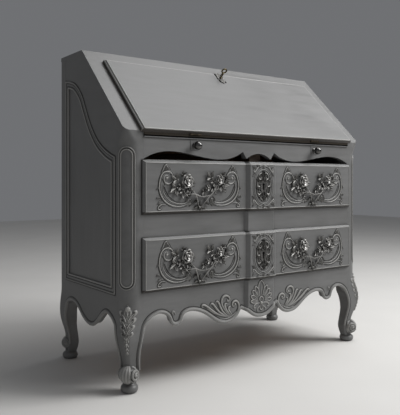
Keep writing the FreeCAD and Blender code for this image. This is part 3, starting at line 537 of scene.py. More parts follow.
def scroll_foot(foot, outward_y, reach, radius, swing):
    """A reeded ball that ends in a volute on both sides, over a turned bun. The ball between the reeds is
    painted dark as their shade, and the reeds' outer edges, the volutes and their eyes lighter as
    highlights.
    """
    reed = 0.0054
    diagonal = Vector((1, outward_y, 0)).normalized()
    across = Matrix.Rotation(swing, 3, "Z") @ Vector((1, -outward_y, 0)).normalized()
    centre = Vector((foot[0], FRONT + foot[1], SCROLL_HEIGHT)) + diagonal * reach
    core, side = radius - 0.004, 0.62 * radius
    ball = [(0.0, -radius + 0.004), (side, -side), (core, 0), (side, side), (0.0, core)]
    pieces = [mark(turned(ball, centre, across), 0.1)]

    def ridge(spot):
        return 0.30 + 0.55 * max(0.0, (spot - centre).length / radius - 0.80) / 0.20
    for index in range(-2, 3):
        axis = Matrix.Rotation(0.40 * index, 3, "Z") @ across
        turn = Vector(UP).rotation_difference(axis).to_matrix().to_4x4()
        deselect()
        bpy.ops.mesh.primitive_torus_add(major_radius=radius - reed, minor_radius=reed, major_segments=48,
                                         minor_segments=12)
        ring = bpy.context.object
        ring.data.transform(Matrix.Translation(centre) @ turn)
        pieces.append(mark(ring, ridge))
    turn = Vector(UP).rotation_difference(across).to_matrix()
    for end in (-1, 1):
        spiral = []
        for index in range(25):
            angle, size = 3.9 * math.pi * index / 24, 0.70 * radius * (1 - 0.72 * index / 24)
            spiral.append(centre + across * (end * (math.sqrt(radius * radius - size * size) + 0.0006))
                          + turn @ Vector((size * math.cos(angle), size * math.sin(angle), 0)))
        pieces.append(carved_line(spiral, [0.0018, 0.0038, 0.0038, 0.0034, 0.0030], 0.72))
        eye = mm(((0, -5.6), (4, -4), (5.6, 0), (4, 4), (0, 5.6)))
        pieces.append(mark(turned(eye, centre + across * (end * (radius - 0.0006)), across, 10, 16), 0.80))
    bun = mm(((0, 0), (17, 0), (22.5, 3), (24.8, 10), (23.2, 17.5), (17.5, 22.5), (14.5, 26.2), (16, 30),
              (0, 31)))
    pieces.append(mark(turned(bun, (foot[0], FRONT + foot[1], 0.0003), UP), PLAIN))
    return pieces


FRONT_LEG = ((20, 445, 475, 15, 45, 12), (40, 440, 473, 17, 49, 12), (58, 438, 473.5, 15.5, 51, 12),
             (85, 440.5, 477, 12, 48.5, 12), (102, 442.5, 481.5, 7.5, 46.5, 13),
             (119, 443.5, 486, 3, 45, 14), (141, 442, 491, -2.5, 46, 16), (165, 437.5, 494, -5.5, 48.5, 19),
             (182, 432.5, 494.3, -5.6, 51.3, 24), (200, 430.4, 494, -3.6, 52.1, 31),
             (220, 430.3, 493, -1, 52.1, 41), (240, 430.4, 492.5, 0, 52.1, 46),
             (270, 430.4, 492.5, 0, 52.1, 46))
FRONT_CORNER = ((300, 46), (400, 46), (500, 46), (580, 46), (630, 46), (660, 46), (682, 46), (698, 42),
                (711, 33), (723, 24), (735, 17), (750, 14), (772, 14), (800, 14))
FRONT_LEG += tuple((height, 430.5, SIDE_FACE, 0, 52.2, outer) for height, outer in FRONT_CORNER)
front_leg = skin(150, 72, lambda rise, turn: leg_point(along(FRONT_LEG, rise), turn, False))
saw(front_leg, (0, FRONT, POST_HEAD), SLANT_OUT, clear_outer=True)
mark(outward(front_leg), PLAIN)
right_front = gather([front_leg] + scroll_foot((0.461, 0.028), -1, 0.010, 0.0266, 0.42))
left_front = finish_pair(right_front, "front_post_and_leg", paint_carved, "front_post")


# Slant stiles: the sloping boards that the flap rests on, glued on the side rails behind the front posts.
# They are planed flush with the posts and painted.
def sawn_node(node, spot, normal):
    """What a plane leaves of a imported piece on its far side, the seams merged."""
    piece = twin_of(nodes[node])
    piece.parent = None
    piece.matrix_world = Matrix.Identity(4)
    open_mesh(piece)
    bpy.ops.mesh.remove_doubles(threshold=0.00001)
    saw(piece, spot, normal, clear_inner=True)
    bpy.ops.mesh.customdata_custom_splitnormals_clear()
    return piece


stiles = sawn_node("slant_stiles", (0, FRONT + 0.052, 0), (0, 1, 0))
bpy.ops.object.shade_flat()
finish_piece(stiles, "slant_stile_boards", "carcass", paint_deep, ["slant_stiles"])


# Rear corner posts: square beech posts with a plainer leg, a smaller scroll and the same bun.
# They are sawn and rounded like the front ones.
REAR_LEG = ((20, 445, 475, 414, 444, 10), (40, 440, 473, 409, 441, 10), (58, 438.5, 474, 407, 442, 10),
            (85, 441.5, 477, 407.5, 442.5, 10), (102, 444, 481, 407.5, 444.5, 11),
            (119, 446, 486, 406, 446, 11), (141, 447, 492, 402, 446.5, 11), (165, 449, 495, 397, 445, 11),
            (182, 451, 495.5, 392.5, 442, 10), (200, 452.3, 495, 391, 438, 8),
            (220, 452.3, 493.5, 390.8, 433.5, 6), (240, 452.5, 492.5, 390.9, 431, 4),
            (270, 452.5, 492.5, 390.9, 431, 4), (300, 452.5, 492.5, 391, 431, 4))
rear_leg = mark(skin(84, 56, lambda rise, turn: leg_point(along(REAR_LEG, rise), turn, True)), PLAIN)
rear_post = sawn_node("right_rear_post", (0, 0, REAR_LEG[-1][0] / 1000), UP)
bpy.ops.object.shade_smooth_by_angle(angle=math.radians(35))
mark(rear_post, PLAIN)
right_rear = gather([rear_post, rear_leg] + scroll_foot((0.461, 0.430), 1, 0.007, 0.0218, 0.0))
finish_pair(right_rear, "rear_post_and_leg", paint_carved, "rear_post")


# Front apron: a beech board sawn to a scalloped lower edge, with a middle part that stands forward.
# It is tenoned between the front posts and painted.
MIDDLE_LOBE = mm(((0, 162.5), (15, 164), (30, 169), (43, 177), (53.6, 184.6), (64.3, 190.8), (78.5, 197)))
SIDE_LOBES = mm(((78.5, 197), (85, 188.5), (93, 177), (105, 167), (120, 160.5), (138, 158.5), (158, 162),
                 (178, 172.5), (198, 186.5), (218, 199), (235, 206.5), (252, 211.5), (270, 213.5),
                 (287, 211), (298.5, 205), (304, 196), (308, 185.5), (316, 179.5), (327, 179),
                 (335.5, 184.5), (340, 195), (346, 205.5), (356, 213.5), (370, 219), (384, 219), (398, 215),
                 (411, 208), (422, 198.5), (430.6, 186)))
APRON_END, APRON_TOP, APRON_HALF = 0.4306, 0.286, 0.011


def apron_depth(x):
    return FRONT - BREAK_DEPTH * clamp((BREAK_OUTER - abs(x)) / BREAK_DEPTH)


def upright(x, y, z):
    """Stands a drawing up on the front of the desk at a place."""
    return Matrix(((1, 0, 0, x), (0, 0, -1, y), (0, 1, 0, z), (0, 0, 0, 1)))


def sawn_board(name, outline, half_thick, stand):
    """A flat board sawn to an outline and stood in its place."""
    curve = bpy.data.curves.new(name, "CURVE")
    curve.dimensions = "2D"
    curve.fill_mode = "BOTH"
    curve.extrude = half_thick
    spline = curve.splines.new("POLY")
    spline.points.add(len(outline) - 1)
    for point, (x, y) in zip(spline.points, outline):
        point.co = (x, y, 0, 1)
    spline.use_cyclic_u = True
    piece = meshed(curve)
    piece.data.transform(stand)
    return outward(piece)


middle_edge = [along(MIDDLE_LOBE, index / 24) for index in range(25)]
side_edge = [along(SIDE_LOBES, index / 112) for index in range(113)]
half_edge = [(spot.x, spot.y) for spot in middle_edge + side_edge[1:]]
saw_line = [(-APRON_END, APRON_TOP)] + [(-x, z) for x, z in reversed(half_edge)]
saw_line += half_edge[1:] + [(APRON_END, APRON_TOP)]
apron_board = sawn_board("apron_board", saw_line, APRON_HALF, upright(0, FRONT + APRON_HALF, 0))
for place_x in (-BREAK_OUTER, -BREAK_INNER, BREAK_INNER, BREAK_OUTER):
    saw(apron_board, (place_x, 0, 0), (1, 0, 0))
for vertex in apron_board.data.vertices:
    if vertex.co.y < FRONT + 0.001:
        vertex.co.y = apron_depth(vertex.co.x)
mark(outward(apron_board), PLAIN)
finish_piece(apron_board, "front_apron_board", "carcass", paint_wide, ["front_apron"])


# Beads along the scalloped aprons: a round edge, its crest rubbed lighter, which also paints its
# highlight, and a thin strand above it painted dark as the shadow of a fine cut line.
# They are worked on the lower edge of each apron and run on down the inner edges of the legs.
EDGE = 0.66
OUT_FRONT, OUT_SIDE = Vector((0, -1, 0)), Vector((1, 0, 0))
SIDE_APRON_START, SIDE_APRON_RUN, SIDE_APRON_MIDDLE = 0.0522, 0.3386, 0.482


def ground(*pieces):
    """The surface that a carving is laid on."""
    spots, faces = [], []
    for piece in pieces:
        first = len(spots)
        spots += [vertex.co.copy() for vertex in piece.data.vertices]
        faces += [[first + index for index in face.vertices] for face in piece.data.polygons]
    return BVHTree.FromPolygons(spots, faces)


def shifted(points, offset):
    """The same line moved to its left by an offset."""
    moved = []
    for index, spot in enumerate(points):
        before, after = Vector(points[max(0, index - 1)]), Vector(points[min(len(points) - 1, index + 1)])
        run = (after - before).normalized()
        moved.append(Vector(spot) + Vector((-run.y, run.x)) * offset)
    return moved


def leg_edge(stations, across, deep, top, bottom, count):
    """Places of one edge of a leg from top down to bottom: across, depth and height."""
    line = []
    rest = 0.0 if deep == 3 else SIDE_FACE
    for index in range(241):
        station = along(stations, 1 - index / 240)
        height, depth = station[0], station[deep]
        if bottom <= height <= top:
            line.append(mm((station[across], depth - leg_flush(height) * (depth - rest), height)))
    return line[::max(1, len(line) // count)]


def edge_bead(line, depths, out, radii, shift, level, sink):
    """A bead in space from a flat line, the depth of its face and the way that face looks."""
    points = []
    for spot, depth in zip(shifted(line, shift), depths):
        flat = Vector((spot.x, 0, spot.y)) if abs(out.y) > 0.5 else Vector((0, spot.x, spot.y))
        points.append(flat - out * sink + Vector((abs(out.x) * depth, abs(out.y) * depth, 0)))
    return carved_line(points, radii, level)


def front_bead(line, depths, radii, hand):
    """A bead along the front and a thin strand above it, painted dark as the shadow of a cut line."""
    return [edge_bead(line, depths, OUT_FRONT, radii, -hand * 0.0012, EDGE, 0.0012),
            edge_bead(line, depths, OUT_FRONT, 0.0018, hand * 0.0066, 0.0, 0.0009)]


leg_line = leg_edge(FRONT_LEG, 1, 3, 178, 52, 14)
beads = []
for hand in (-1, 1):
    line = [(hand * x, z) for x, z in half_edge[24:]] + [(hand * x, z) for x, y, z in leg_line]
    depths = [apron_depth(x) for x, z in half_edge[24:]] + [FRONT + y for x, y, z in leg_line]
    beads += front_bead(line, depths, [0.0060] * 5 + [0.0050, 0.0038], hand)
    for ear in mm((((308, 199), (304.5, 193.5), (300, 196), (301, 202)),
                   ((325, 204), (328, 212.5), (334, 214.5), (337.2, 209), (333, 204.5)))):
        radii = [0.0018, 0.0034, 0.0034, 0.0020]
        line = [(hand * x, z) for x, z in ear]
        beads.append(edge_bead(line, [FRONT] * 5, OUT_FRONT, radii, 0.0, EDGE, 0.0))
middle = [(-x, z) for x, z in reversed(half_edge[:25])] + half_edge[1:25]
beads += front_bead(middle, [apron_depth(x) for x, z in middle], 0.0060, 1)
finish_carving(gather(beads), "front_apron_bead")
front_ground = ground(apron_board, right_front, left_front)

rise = []
right_apron = ground(nodes["right_side_apron"])
for index in range(86):
    y = FRONT + SIDE_APRON_START + SIDE_APRON_RUN * index / 85
    edge = right_apron.ray_cast(Vector((SIDE_APRON_MIDDLE, y, 0)), Vector(UP))[0]
    rise.append((y, SIDE_FACE / 1000, edge.z))
front_line = [(FRONT + y, x, z) for y, x, z in reversed(leg_edge(FRONT_LEG, 4, 2, 180, 52, 14))]
rear_line = [(FRONT + y, x, z) for y, x, z in leg_edge(REAR_LEG, 3, 2, 182, 52, 18)]
side_line = front_line + rise + rear_line
flat, depths = [(y, z) for y, x, z in side_line], [x for y, x, z in side_line]
radii = [0.0034, 0.0050] + [0.0055] * 4 + [0.0050, 0.0034]
# The thin strand is painted dark as the shadow of a cut line.
right_bead = gather([edge_bead(flat, depths, OUT_SIDE, radii, -0.0010, EDGE, 0.0012),
                     edge_bead(flat, depths, OUT_SIDE, 0.0016, 0.0062, 0.0, 0.0008)])
finish_pair(right_bead, "side_apron_bead", paint_carved)


# Knee carving: an acanthus leaf that hangs from a bud on the outer edge of each front leg, with husks below.
# It is cut in the leg; its crests are rubbed lighter, which also paints their highlight, and its low
# places are painted darker as shade.
KNEE_X = -0.002
REACH = 0.12


def lay(piece, surface, origin, right, tallest, painted_shadow=False):
    """Lays a relief drawn in X, Y and Z on an upright surface that runs to the right. Its height paints it
    lighter as highlight and its low places darker as shade, and a cut is painted dark all over as shadow.
    """
    origin, right, up = Vector(origin), Vector(right), Vector(UP)
    out = right.cross(up).normalized()
    levels = []
    for vertex in piece.data.vertices:
        flat = origin + right * vertex.co.x + up * vertex.co.y
        spot = surface.ray_cast(flat + out * REACH, -out, 2 * REACH)[0]
        if spot is None:
            spot = surface.find_nearest(flat)[0]
        levels.append(0.0 if painted_shadow else max(0.3, min(1.0, 0.3 + 0.7 * vertex.co.z / tallest)))
        vertex.co = spot + out * vertex.co.z
    relief_of(piece).data.foreach_set("value", levels)
    return outward(piece)


def backed(piece, thickness, offset=-1.0):
    """Gives a thin blade a back."""
    only(piece)
    slab = piece.modifiers.new("back", "SOLIDIFY")
    slab.thickness = thickness
    slab.offset = offset
    bpy.ops.object.modifier_apply(modifier=slab.name)
    return piece


def leaf(base, tip, bow, width, height, lobes=3, rows=20, cols=8):
    """A carved leaf from base to tip with a ribbed, notched blade, its spine bowed to one side."""
    piece = grid(rows, cols)
    start, end = Vector(base), Vector(tip)
    run = end - start
    side = Vector((-run.y, run.x)).normalized()
    for vertex in piece.data.vertices:
        t, across = (vertex.co.x + 1) / 2, vertex.co.y
        spine = start + run * t + side * (bow * 4 * t * (1 - t))
        forward = run + side * (bow * 4 * (1 - 2 * t))
        normal = Vector((-forward.y, forward.x)).normalized()
        notch = 0.74 + 0.26 * abs(math.sin(math.pi * lobes * (t + 0.2 * abs(across))))
        half = width * max(0.03, math.sin(math.pi * (0.05 + 0.95 * t) ** 0.85)) * notch
        vein = 0.62 + 0.38 * math.cos(2.6 * math.pi * across)
        rise = height * (1 - across ** 6) * vein * (0.5 + 0.5 * math.sin(math.pi * t))
        spot = spine + normal * (half * across)
        vertex.co = (spot.x, spot.y, rise - 0.0010 * abs(across))
    return backed(piece, 0.0012)


def bead(spot, radius, tall):
    """A small carved bead."""
    deselect()
    bpy.ops.mesh.primitive_uv_sphere_add(segments=16, ring_count=10, radius=radius)
    piece = bpy.context.object
    squash = Matrix.Diagonal((1, 1, tall / radius, 1))
    piece.data.transform(Matrix.Translation((spot[0], spot[1], 0)) @ squash)
    return piece


def husk_line(hand, size, z, *offsets):
    """Places beside the middle of the knee, the offsets scaled by a size."""
    return [(hand * x * size + KNEE_X, z + rise * size) for x, rise in mm(offsets)]


knee = [bead((KNEE_X, 0.236), 0.0084, 0.0064), leaf((KNEE_X, 0.212), (KNEE_X, 0.249), 0, 0.0118, 0.0050, 1)]
for index in range(4):
    z, size = 0.224 - 0.0185 * index, 1 - 0.10 * index
    for hand in (-1, 1):
        base, tip = (hand * 0.0015 + KNEE_X, z - 0.027 * size), husk_line(hand, size, z, (23.5, 3))[0]
        knee.append(leaf(base, tip, hand * 0.005, 0.0080 * size, 0.0056, 2))
        knee.append(strand(husk_line(hand, size, z, (14, -10), (22.5, -1), (21.5, 8), (15.8, 6)),
                           [0.0016, 0.0040 * size, 0.0042 * size, 0.0020]))
        knee.append(strand([(hand * 0.001 + KNEE_X, z - 0.024 * size)]
                           + husk_line(hand, size, z, (6.6, -8), (10, 4), (5.5, 11)),
                           [0.0012, 0.0034 * size, 0.0036 * size, 0.0016]))
knee.append(strand([(KNEE_X, z) for z in (0.226, 0.200, 0.180, 0.160)], [0.0032, 0.0028, 0.0022, 0.0014]))
for index, z in enumerate((0.154, 0.140, 0.127, 0.116)):
    size = 1 - 0.13 * index
    knee.append(leaf((KNEE_X, z - 0.010 * size), (KNEE_X, z + 0.006 * size), 0, 0.0076 * size, 0.0048, 1))
    knee.append(bead((KNEE_X, z + 0.0035 * size), 0.0044 * size, 0.0050))
knee_carving = gather(knee)
lay(knee_carving, ground(right_front), (0.470, FRONT + 0.019, 0), Vector((1, 1, 0)).normalized(), 0.0034)
finish_pair(knee_carving, "knee_carving", paint_carved)


# Fluted front corners: a long sunk panel with round ends, drawn on the surface as two fine beads
# rubbed lighter, which also paints their highlight, and a dark line between them painted as shade.
# It is worked on the rounded corner of each front post.
CORNER_RADIUS, CORNER_X = 0.046, 0.4465
FLUTE_HALF = 0.0240
FLUTE_HEAD, FLUTE_FOOT = 0.687 - FLUTE_HALF, 0.290 + FLUTE_HALF
post_ground = ground(right_front)


def on_corner(arc, height, proud):
    angle = math.pi / 4 + arc / CORNER_RADIUS
    middle = Vector((CORNER_X, FRONT + CORNER_RADIUS, height))
    out = Vector((math.cos(angle), -math.sin(angle), 0))
    return post_ground.ray_cast(middle + out * 0.1, -out)[0] + out * proud


flute = []
# Two light beads, rubbed and painted highlight, and a dark line between them painted as shade.
for half, radius, proud, level in ((FLUTE_HALF, 0.0018, 0.0004, 0.74), (0.0172, 0.0021, 0.0004, 0.84),
                                   (0.0206, 0.0017, 0.0, 0.0)):
    ring = []
    for end, centre, far in ((1, FLUTE_HEAD, FLUTE_FOOT), (-1, FLUTE_FOOT, FLUTE_HEAD)):
        for index in range(13):
            angle = math.pi * index / 12 + (0 if end > 0 else math.pi)
            ring.append(on_corner(half * math.cos(angle), centre + half * math.sin(angle), proud))
        for index in range(1, 12):
            ring.append(on_corner(-half * end, centre + (far - centre) * index / 12, proud))
    flute.append(carved_line(ring, radius, level, closed=True, steps=3))
finish_pair(gather(flute), "post_flute", paint_carved)


# Side panels: a raised field and the beads along both edges of the moulding that holds it.
# The field is a beech board with an ogee head. The beads are planed on the moulding, their crests rubbed
# lighter, which also paints their highlight, with thin cut lines beside them painted dark as shadow.
PANEL_FRONT, PANEL_BACK, PANEL_FOOT, PANEL_SHOULDER, OGEE_RISE = 52, 391, 271, 661, 257
OGEE = ((0, 0), (0.155, 0.074), (0.318, 0.202), (0.458, 0.397), (0.569, 0.623), (0.652, 0.786),
        (0.796, 0.934), (1, 1))
PANEL_RUN = PANEL_BACK - PANEL_FRONT
OGEE_PLACES = [(PANEL_FRONT + PANEL_RUN * a, PANEL_SHOULDER + OGEE_RISE * b) for a, b in OGEE]
OGEE_LINE = [along(OGEE_PLACES, index / 60) for index in range(61)]


def panel_line(inset):
    """The outline of the panel, inset all round."""
    front, back, low = PANEL_FRONT + inset, PANEL_BACK - inset, PANEL_FOOT + inset
    head = [Vector((spot.x, spot.y)) for spot in shifted(OGEE_LINE, -inset)]
    head = [spot for spot in head if front < spot.x < back]
    head = [Vector((front, head[0].y))] + head + [Vector((back, head[-1].y))]
    line = [(spot.x, spot.y) for spot in head]
    for start, end in ((line[-1], (back, low)), ((back, low), (front, low)), ((front, low), line[0])):
        steps = max(3, int(math.hypot(end[0] - start[0], end[1] - start[1]) / 12))
        line += [(start[0] + (end[0] - start[0]) * i / steps, start[1] + (end[1] - start[1]) * i / steps)
                 for i in ((0.15,) if steps > 3 else ()) + tuple(range(1, steps)) + (steps - 0.15,)]
    return line


panel_beads = []
# Light beads, rubbed and painted highlight, and dark cut lines painted as shadow.
for inset, radius, x, level in ((2.6, 0.0021, 0.4941, 0.80), (20.2, 0.0026, 0.4938, 0.88),
                                (15.4, 0.0012, 0.4941, 0.0), (6.6, 0.0009, 0.4941, 0.0),
                                (-1.6, 0.0011, 0.4925, 0.0)):
    ring = [(x, FRONT + y / 1000, z / 1000) for y, z in panel_line(inset)]
    panel_beads.append(carved_line(ring, radius, level, closed=True, steps=2))
right_field = sawn_board("panel_field", mm(panel_line(21.8)), 0.0056,
                         Matrix(((0, 0, 1, 0.4849), (1, 0, 0, FRONT), (0, 1, 0, 0), (0, 0, 0, 1))))
finish_pair(right_field, "panel_field", paint_panel)
finish_pair(gather(panel_beads), "panel_beads", paint_carved)


# Apron carving: a palmette on the centre block and a spray of acanthus fronds on each side of it.
# It is low relief, cut in the apron board, its crests rubbed lighter, which also paints their highlight,
# and each line outlined by a flat dark strand painted as the shadow of its cut.
RIGHT = (1, 0, 0)
SHADOW_WIDTH, SHADOW_FLATNESS = 1.75, 0.22


def sided(hand, line):
    """A drawn line in millimetres, on one hand of the middle."""
    return [(hand * x, y) for x, y in mm(line)]


def shadow_outline(line, radii):
    """A flat dark strand along both sides of a raised line, painted as the shadow where it is cut."""
    wide = strand(line, [SHADOW_WIDTH * radius for radius in radii])
    wide.data.transform(Matrix.Diagonal((1, 1, SHADOW_FLATNESS, 1)))
    return wide


def lobe(base, tip, half, rib=True):
    """One lobe of a palmette: a pointed arch with a rib."""
    start, end = Vector(base), Vector(tip)
    run = end - start
    side = Vector((-run.y, run.x)).normalized() * half
    arch = ((0.0, 0.42), (0.3, 0.8), (0.62, 1.0), (0.85, 0.62), (1.0, 0.0), (0.85, -0.62), (0.62, -1.0),
            (0.3, -0.8), (0.0, -0.42))
    rim = [start + run * a + side * b for a, b in arch]
    radii = [0.0014, 0.0024, 0.0026, 0.0024, 0.0014]
    pieces = [strand(rim, radii)]
    palmette_shadow.append(shadow_outline(rim, radii))
    if rib:
        pieces.append(strand([start + run * share for share in (0.05, 0.5, 0.8)], [0.0016, 0.0020, 0.0008]))
    return pieces


def on_apron(relief, painted_shadow, tallest):
    """Lays a relief and its dark outline, painted shadow, on the front of the apron and the legs."""
    return gather([lay(gather(relief), front_ground, (0, FRONT, 0), RIGHT, tallest),
                   lay(gather(painted_shadow), front_ground, (0, FRONT, 0), RIGHT, tallest, True)])


palmette_shadow = []
palmette = lobe((0, 0.220), (0, 0.274), 0.0135)
for hand in (-1, 1):
    for base, tip, half in mm((((8, 222), (26, 256), 7.8), ((13, 218), (37, 244), 7),
                               ((15, 212), (44, 227), 6.2), ((15, 206), (45, 210), 5.6))):
        palmette += lobe((hand * base[0], base[1]), (hand * tip[0], tip[1]), half)
    palmette.append(strand(sided(hand, ((4, 200), (18, 202), (30, 197), (33, 189), (26, 186), (23, 191))),
                           [0.0016, 0.0028, 0.0026, 0.0018]))
    palmette.append(strand(sided(hand, ((3, 194), (12, 189), (20, 179), (15, 174))),
                           [0.0016, 0.0026, 0.0024, 0.0014]))
palmette += lobe((0, 0.204), (0, 0.221), 0.0085, False) + lobe((0, 0.198), (0, 0.178), 0.0070)
palmette.append(bead((0, 0.201), 0.0055, 0.005))
finish_carving(on_apron(palmette, palmette_shadow, 0.0027), "apron_palmette_carving")

MAIN_FRONDS = 7
FRONDS = (((125, 171), (160, 178), (192, 199), (214, 216), (227, 221), (231, 215), (225, 211)),
          ((122, 169), (152, 180), (174, 201), (187, 218), (196, 221), (198, 214)),
          ((120, 169), (144, 182), (159, 203), (166, 221), (175, 226), (178, 219)),
          ((118, 170), (135, 184), (150, 205), (156, 222), (150, 235), (138, 239), (126, 234), (121, 224),
           (127, 217), (136, 220)),
          ((115, 171), (128, 183), (139, 198), (143, 209), (138, 215), (131, 211)),
          ((112, 173), (120, 184), (128, 194), (126, 202), (118, 203)),
          ((108, 171), (92, 180), (84, 195), (87, 211), (99, 219), (111, 214), (112, 204), (105, 199),
           (99, 204)),
          ((165, 168), (140, 165), (114, 169), (96, 183)), ((135, 171), (175, 184), (198, 199), (212, 207)),
          ((130, 172), (161, 188), (178, 206), (184, 211)))
for word, hand in (("left", -1), ("right", 1)):
    spray, spray_shadow = [], []
    for index, line in enumerate(FRONDS):
        thick = 0.0034 if index < MAIN_FRONDS else 0.0024
        spray.append(strand(sided(hand, line), [0.0014, thick, thick * 1.15, thick, 0.0017]))
        spray_shadow.append(shadow_outline(sided(hand, line), [0.0014, thick * 0.95, thick, thick * 0.95, 0.0017]))
    spray.append(bead((hand * 0.101, 0.207), 0.0042, 0.0040))
    spray.append(bead((hand * 0.131, 0.222), 0.0040, 0.0040))
    finish_carving(on_apron(spray, spray_shadow, 0.0036), word + "_apron_spray_carving")


# Carved fields of the main drawers: C-scroll frames with volutes, corner leaves and a small shell
# at the foot. They are cut in the solid front and painted with it, the crests rubbed lighter, which also
# paints their highlight, and thin cut lines beside the scrolls painted dark as their shadow.
FIELD_X = 0.241
FIELD_SHARE = 0.967
OUTER = mm(((50, -50), (66, -56), (92, -56.8), (114, -51), (131, -41), (143, -27), (150, -10), (151, 8),
            (146.5, 28), (137, 42.5), (122, 46), (107, 40.5), (100.5, 27), (106, 13.5), (119, 8),
            (132, 13.5), (136, 25), (130, 34.5), (120, 32), (118.5, 24)))
INNER = mm(((42, -38.5), (54, -47.5), (78, -49.8), (100, -45.5), (118, -36.5), (131, -24), (138, -10),
            (139.5, 2), (135, 10.5)))
GROOVE = mm(((48, -38.5), (64, -44), (84, -44), (102, -37.8), (117, -27), (127, -13.5), (132.5, 0.5)))
FINIAL = mm(((112, 44), (116, 53), (124, 59), (126, 66), (133, 59), (137, 50), (143, 40)))
CORNER = mm(((128, -50), (142, -48), (152, -54), (157, -62), (148, -64), (142, -59), (147, -55)))
CURL = mm(((46, -56), (38, -48), (36, -39), (43, -34), (49, -39), (45, -44)))
FIELD_LEAVES = mm((((126, 47), (123, 62), 2, 5), ((119, 47), (112, 58), -2, 4),
                   ((139, -36), (153, -46), -3, 5), ((141, -33), (157, -34), 4, 4.2),
                   ((56, -54), (36, -33), 6, 5.5), ((53, -55), (28, -50), -3, 4.5),
                   ((52, -45), (44, -29), -3, 3.6), ((147, 4), (156, -8), -2, 3.4),
                   ((5, -62), (24, -58.5), -3, 4.6)))


def sprig(base, tip, bow, width, height):
    """A small leaf with two lobes."""
    return leaf(base, tip, bow, width, height, 2, 14, 6)


def sprigs(hand, rows, height):
    """Small leaves on one hand of the middle, from base, tip, bow and width."""
    return [sprig((hand * base[0], base[1]), (hand * tip[0], tip[1]), hand * bow, width, height)
            for base, tip, bow, width in rows]


def field_half(hand):
    """The relief and the cut lines of one half of a field, drawn about the middle of the field; the cut
    lines are painted dark as shadow.
    """
    def turn(line):
        return [(hand * FIELD_SHARE * u, w) for u, w in line]
    relief = [strand(turn(OUTER), [0.0010, 0.0024, 0.0024, 0.0023, 0.0022, 0.0019, 0.0015]),
              strand(turn(INNER), [0.0010, 0.0018, 0.0018, 0.0017, 0.0010]),
              strand(turn(FINIAL), [0.0012, 0.0018, 0.0019, 0.0018, 0.0010]),
              strand(turn(CORNER), [0.0010, 0.0018, 0.0019, 0.0016, 0.0010]),
              strand(turn(CURL), [0.0010, 0.0017, 0.0018, 0.0016, 0.0010]),
              bead((hand * 0.120, 0.0255), 0.0040, 0.0034)] + sprigs(hand, FIELD_LEAVES, 0.0042)
    sides = ((OUTER[:12], 0.0040), (OUTER[:17], -0.0038), (INNER, 0.0030), (FINIAL, 0.0030),
             (CORNER, -0.0030), (CORNER, 0.0030), (CURL, 0.0028), (CURL, -0.0028))
    painted_shadow = [strand(turn([tuple(spot) for spot in shifted(line, offset)]), 0.0012) for line, offset in sides]
    return relief, painted_shadow + [strand(turn(GROOVE), 0.0014)]


def mid_height(node):
    low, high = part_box(node)
    return (low.z + high.z) / 2


for level in DRAWERS:
    front = ground(nodes[level + "_drawer_front"])
    for word, sign in (("left", -1), ("right", 1)):
        relief, painted_shadow = [], []
        for hand in (-1, 1):
            more_relief, more_painted_shadow = field_half(hand)
            relief += more_relief
            painted_shadow += more_painted_shadow
        relief.append(sprig((0, -0.054), (0, -0.0695), 0, 0.0075, 0.0048))
        spot = (sign * FIELD_X, FRONT, mid_height(level + "_drawer_front"))
        field = gather([lay(gather(relief), front, spot, RIGHT, 0.0021),
                        lay(gather(painted_shadow), front, spot, RIGHT, 0.004, True)])
        finish_carving(field, level + "_" + word + "_field_carving", level + "_drawer")


# Edges of the drawer fronts: a fillet where the bevel meets the face, painted light as a highlight,
# and a dark line where the lip meets the rails, painted as the shadow in that gap. They are planed on the
# front.
for level in DRAWERS:
    low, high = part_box(level + "_drawer_front")
    lines = []
    # A light fillet painted as a highlight, and a dark line painted as the shadow in the gap at the lip.
    for inset, depth, radius, tone in ((0.0070, -0.0104, 0.0014, 0.80), (-0.0006, -0.0008, 0.0018, 0.0)):
        ring = []
        for z, hand in ((high.z - inset, 1), (low.z + inset, -1)):
            for x, forward in ((-high.x + inset, 0), (-BREAK_OUTER, 0), (-BREAK_INNER, -BREAK_DEPTH),
                               (BREAK_INNER, -BREAK_DEPTH), (BREAK_OUTER, 0), (high.x - inset, 0)):
                ring += [Vector((hand * x, FRONT + depth + forward, z))] * 3
        lines.append(carved_line(ring, radius, tone, closed=True, steps=3))
    finish_carving(gather(lines), level + "_drawer_front_fillets", level + "_drawer")


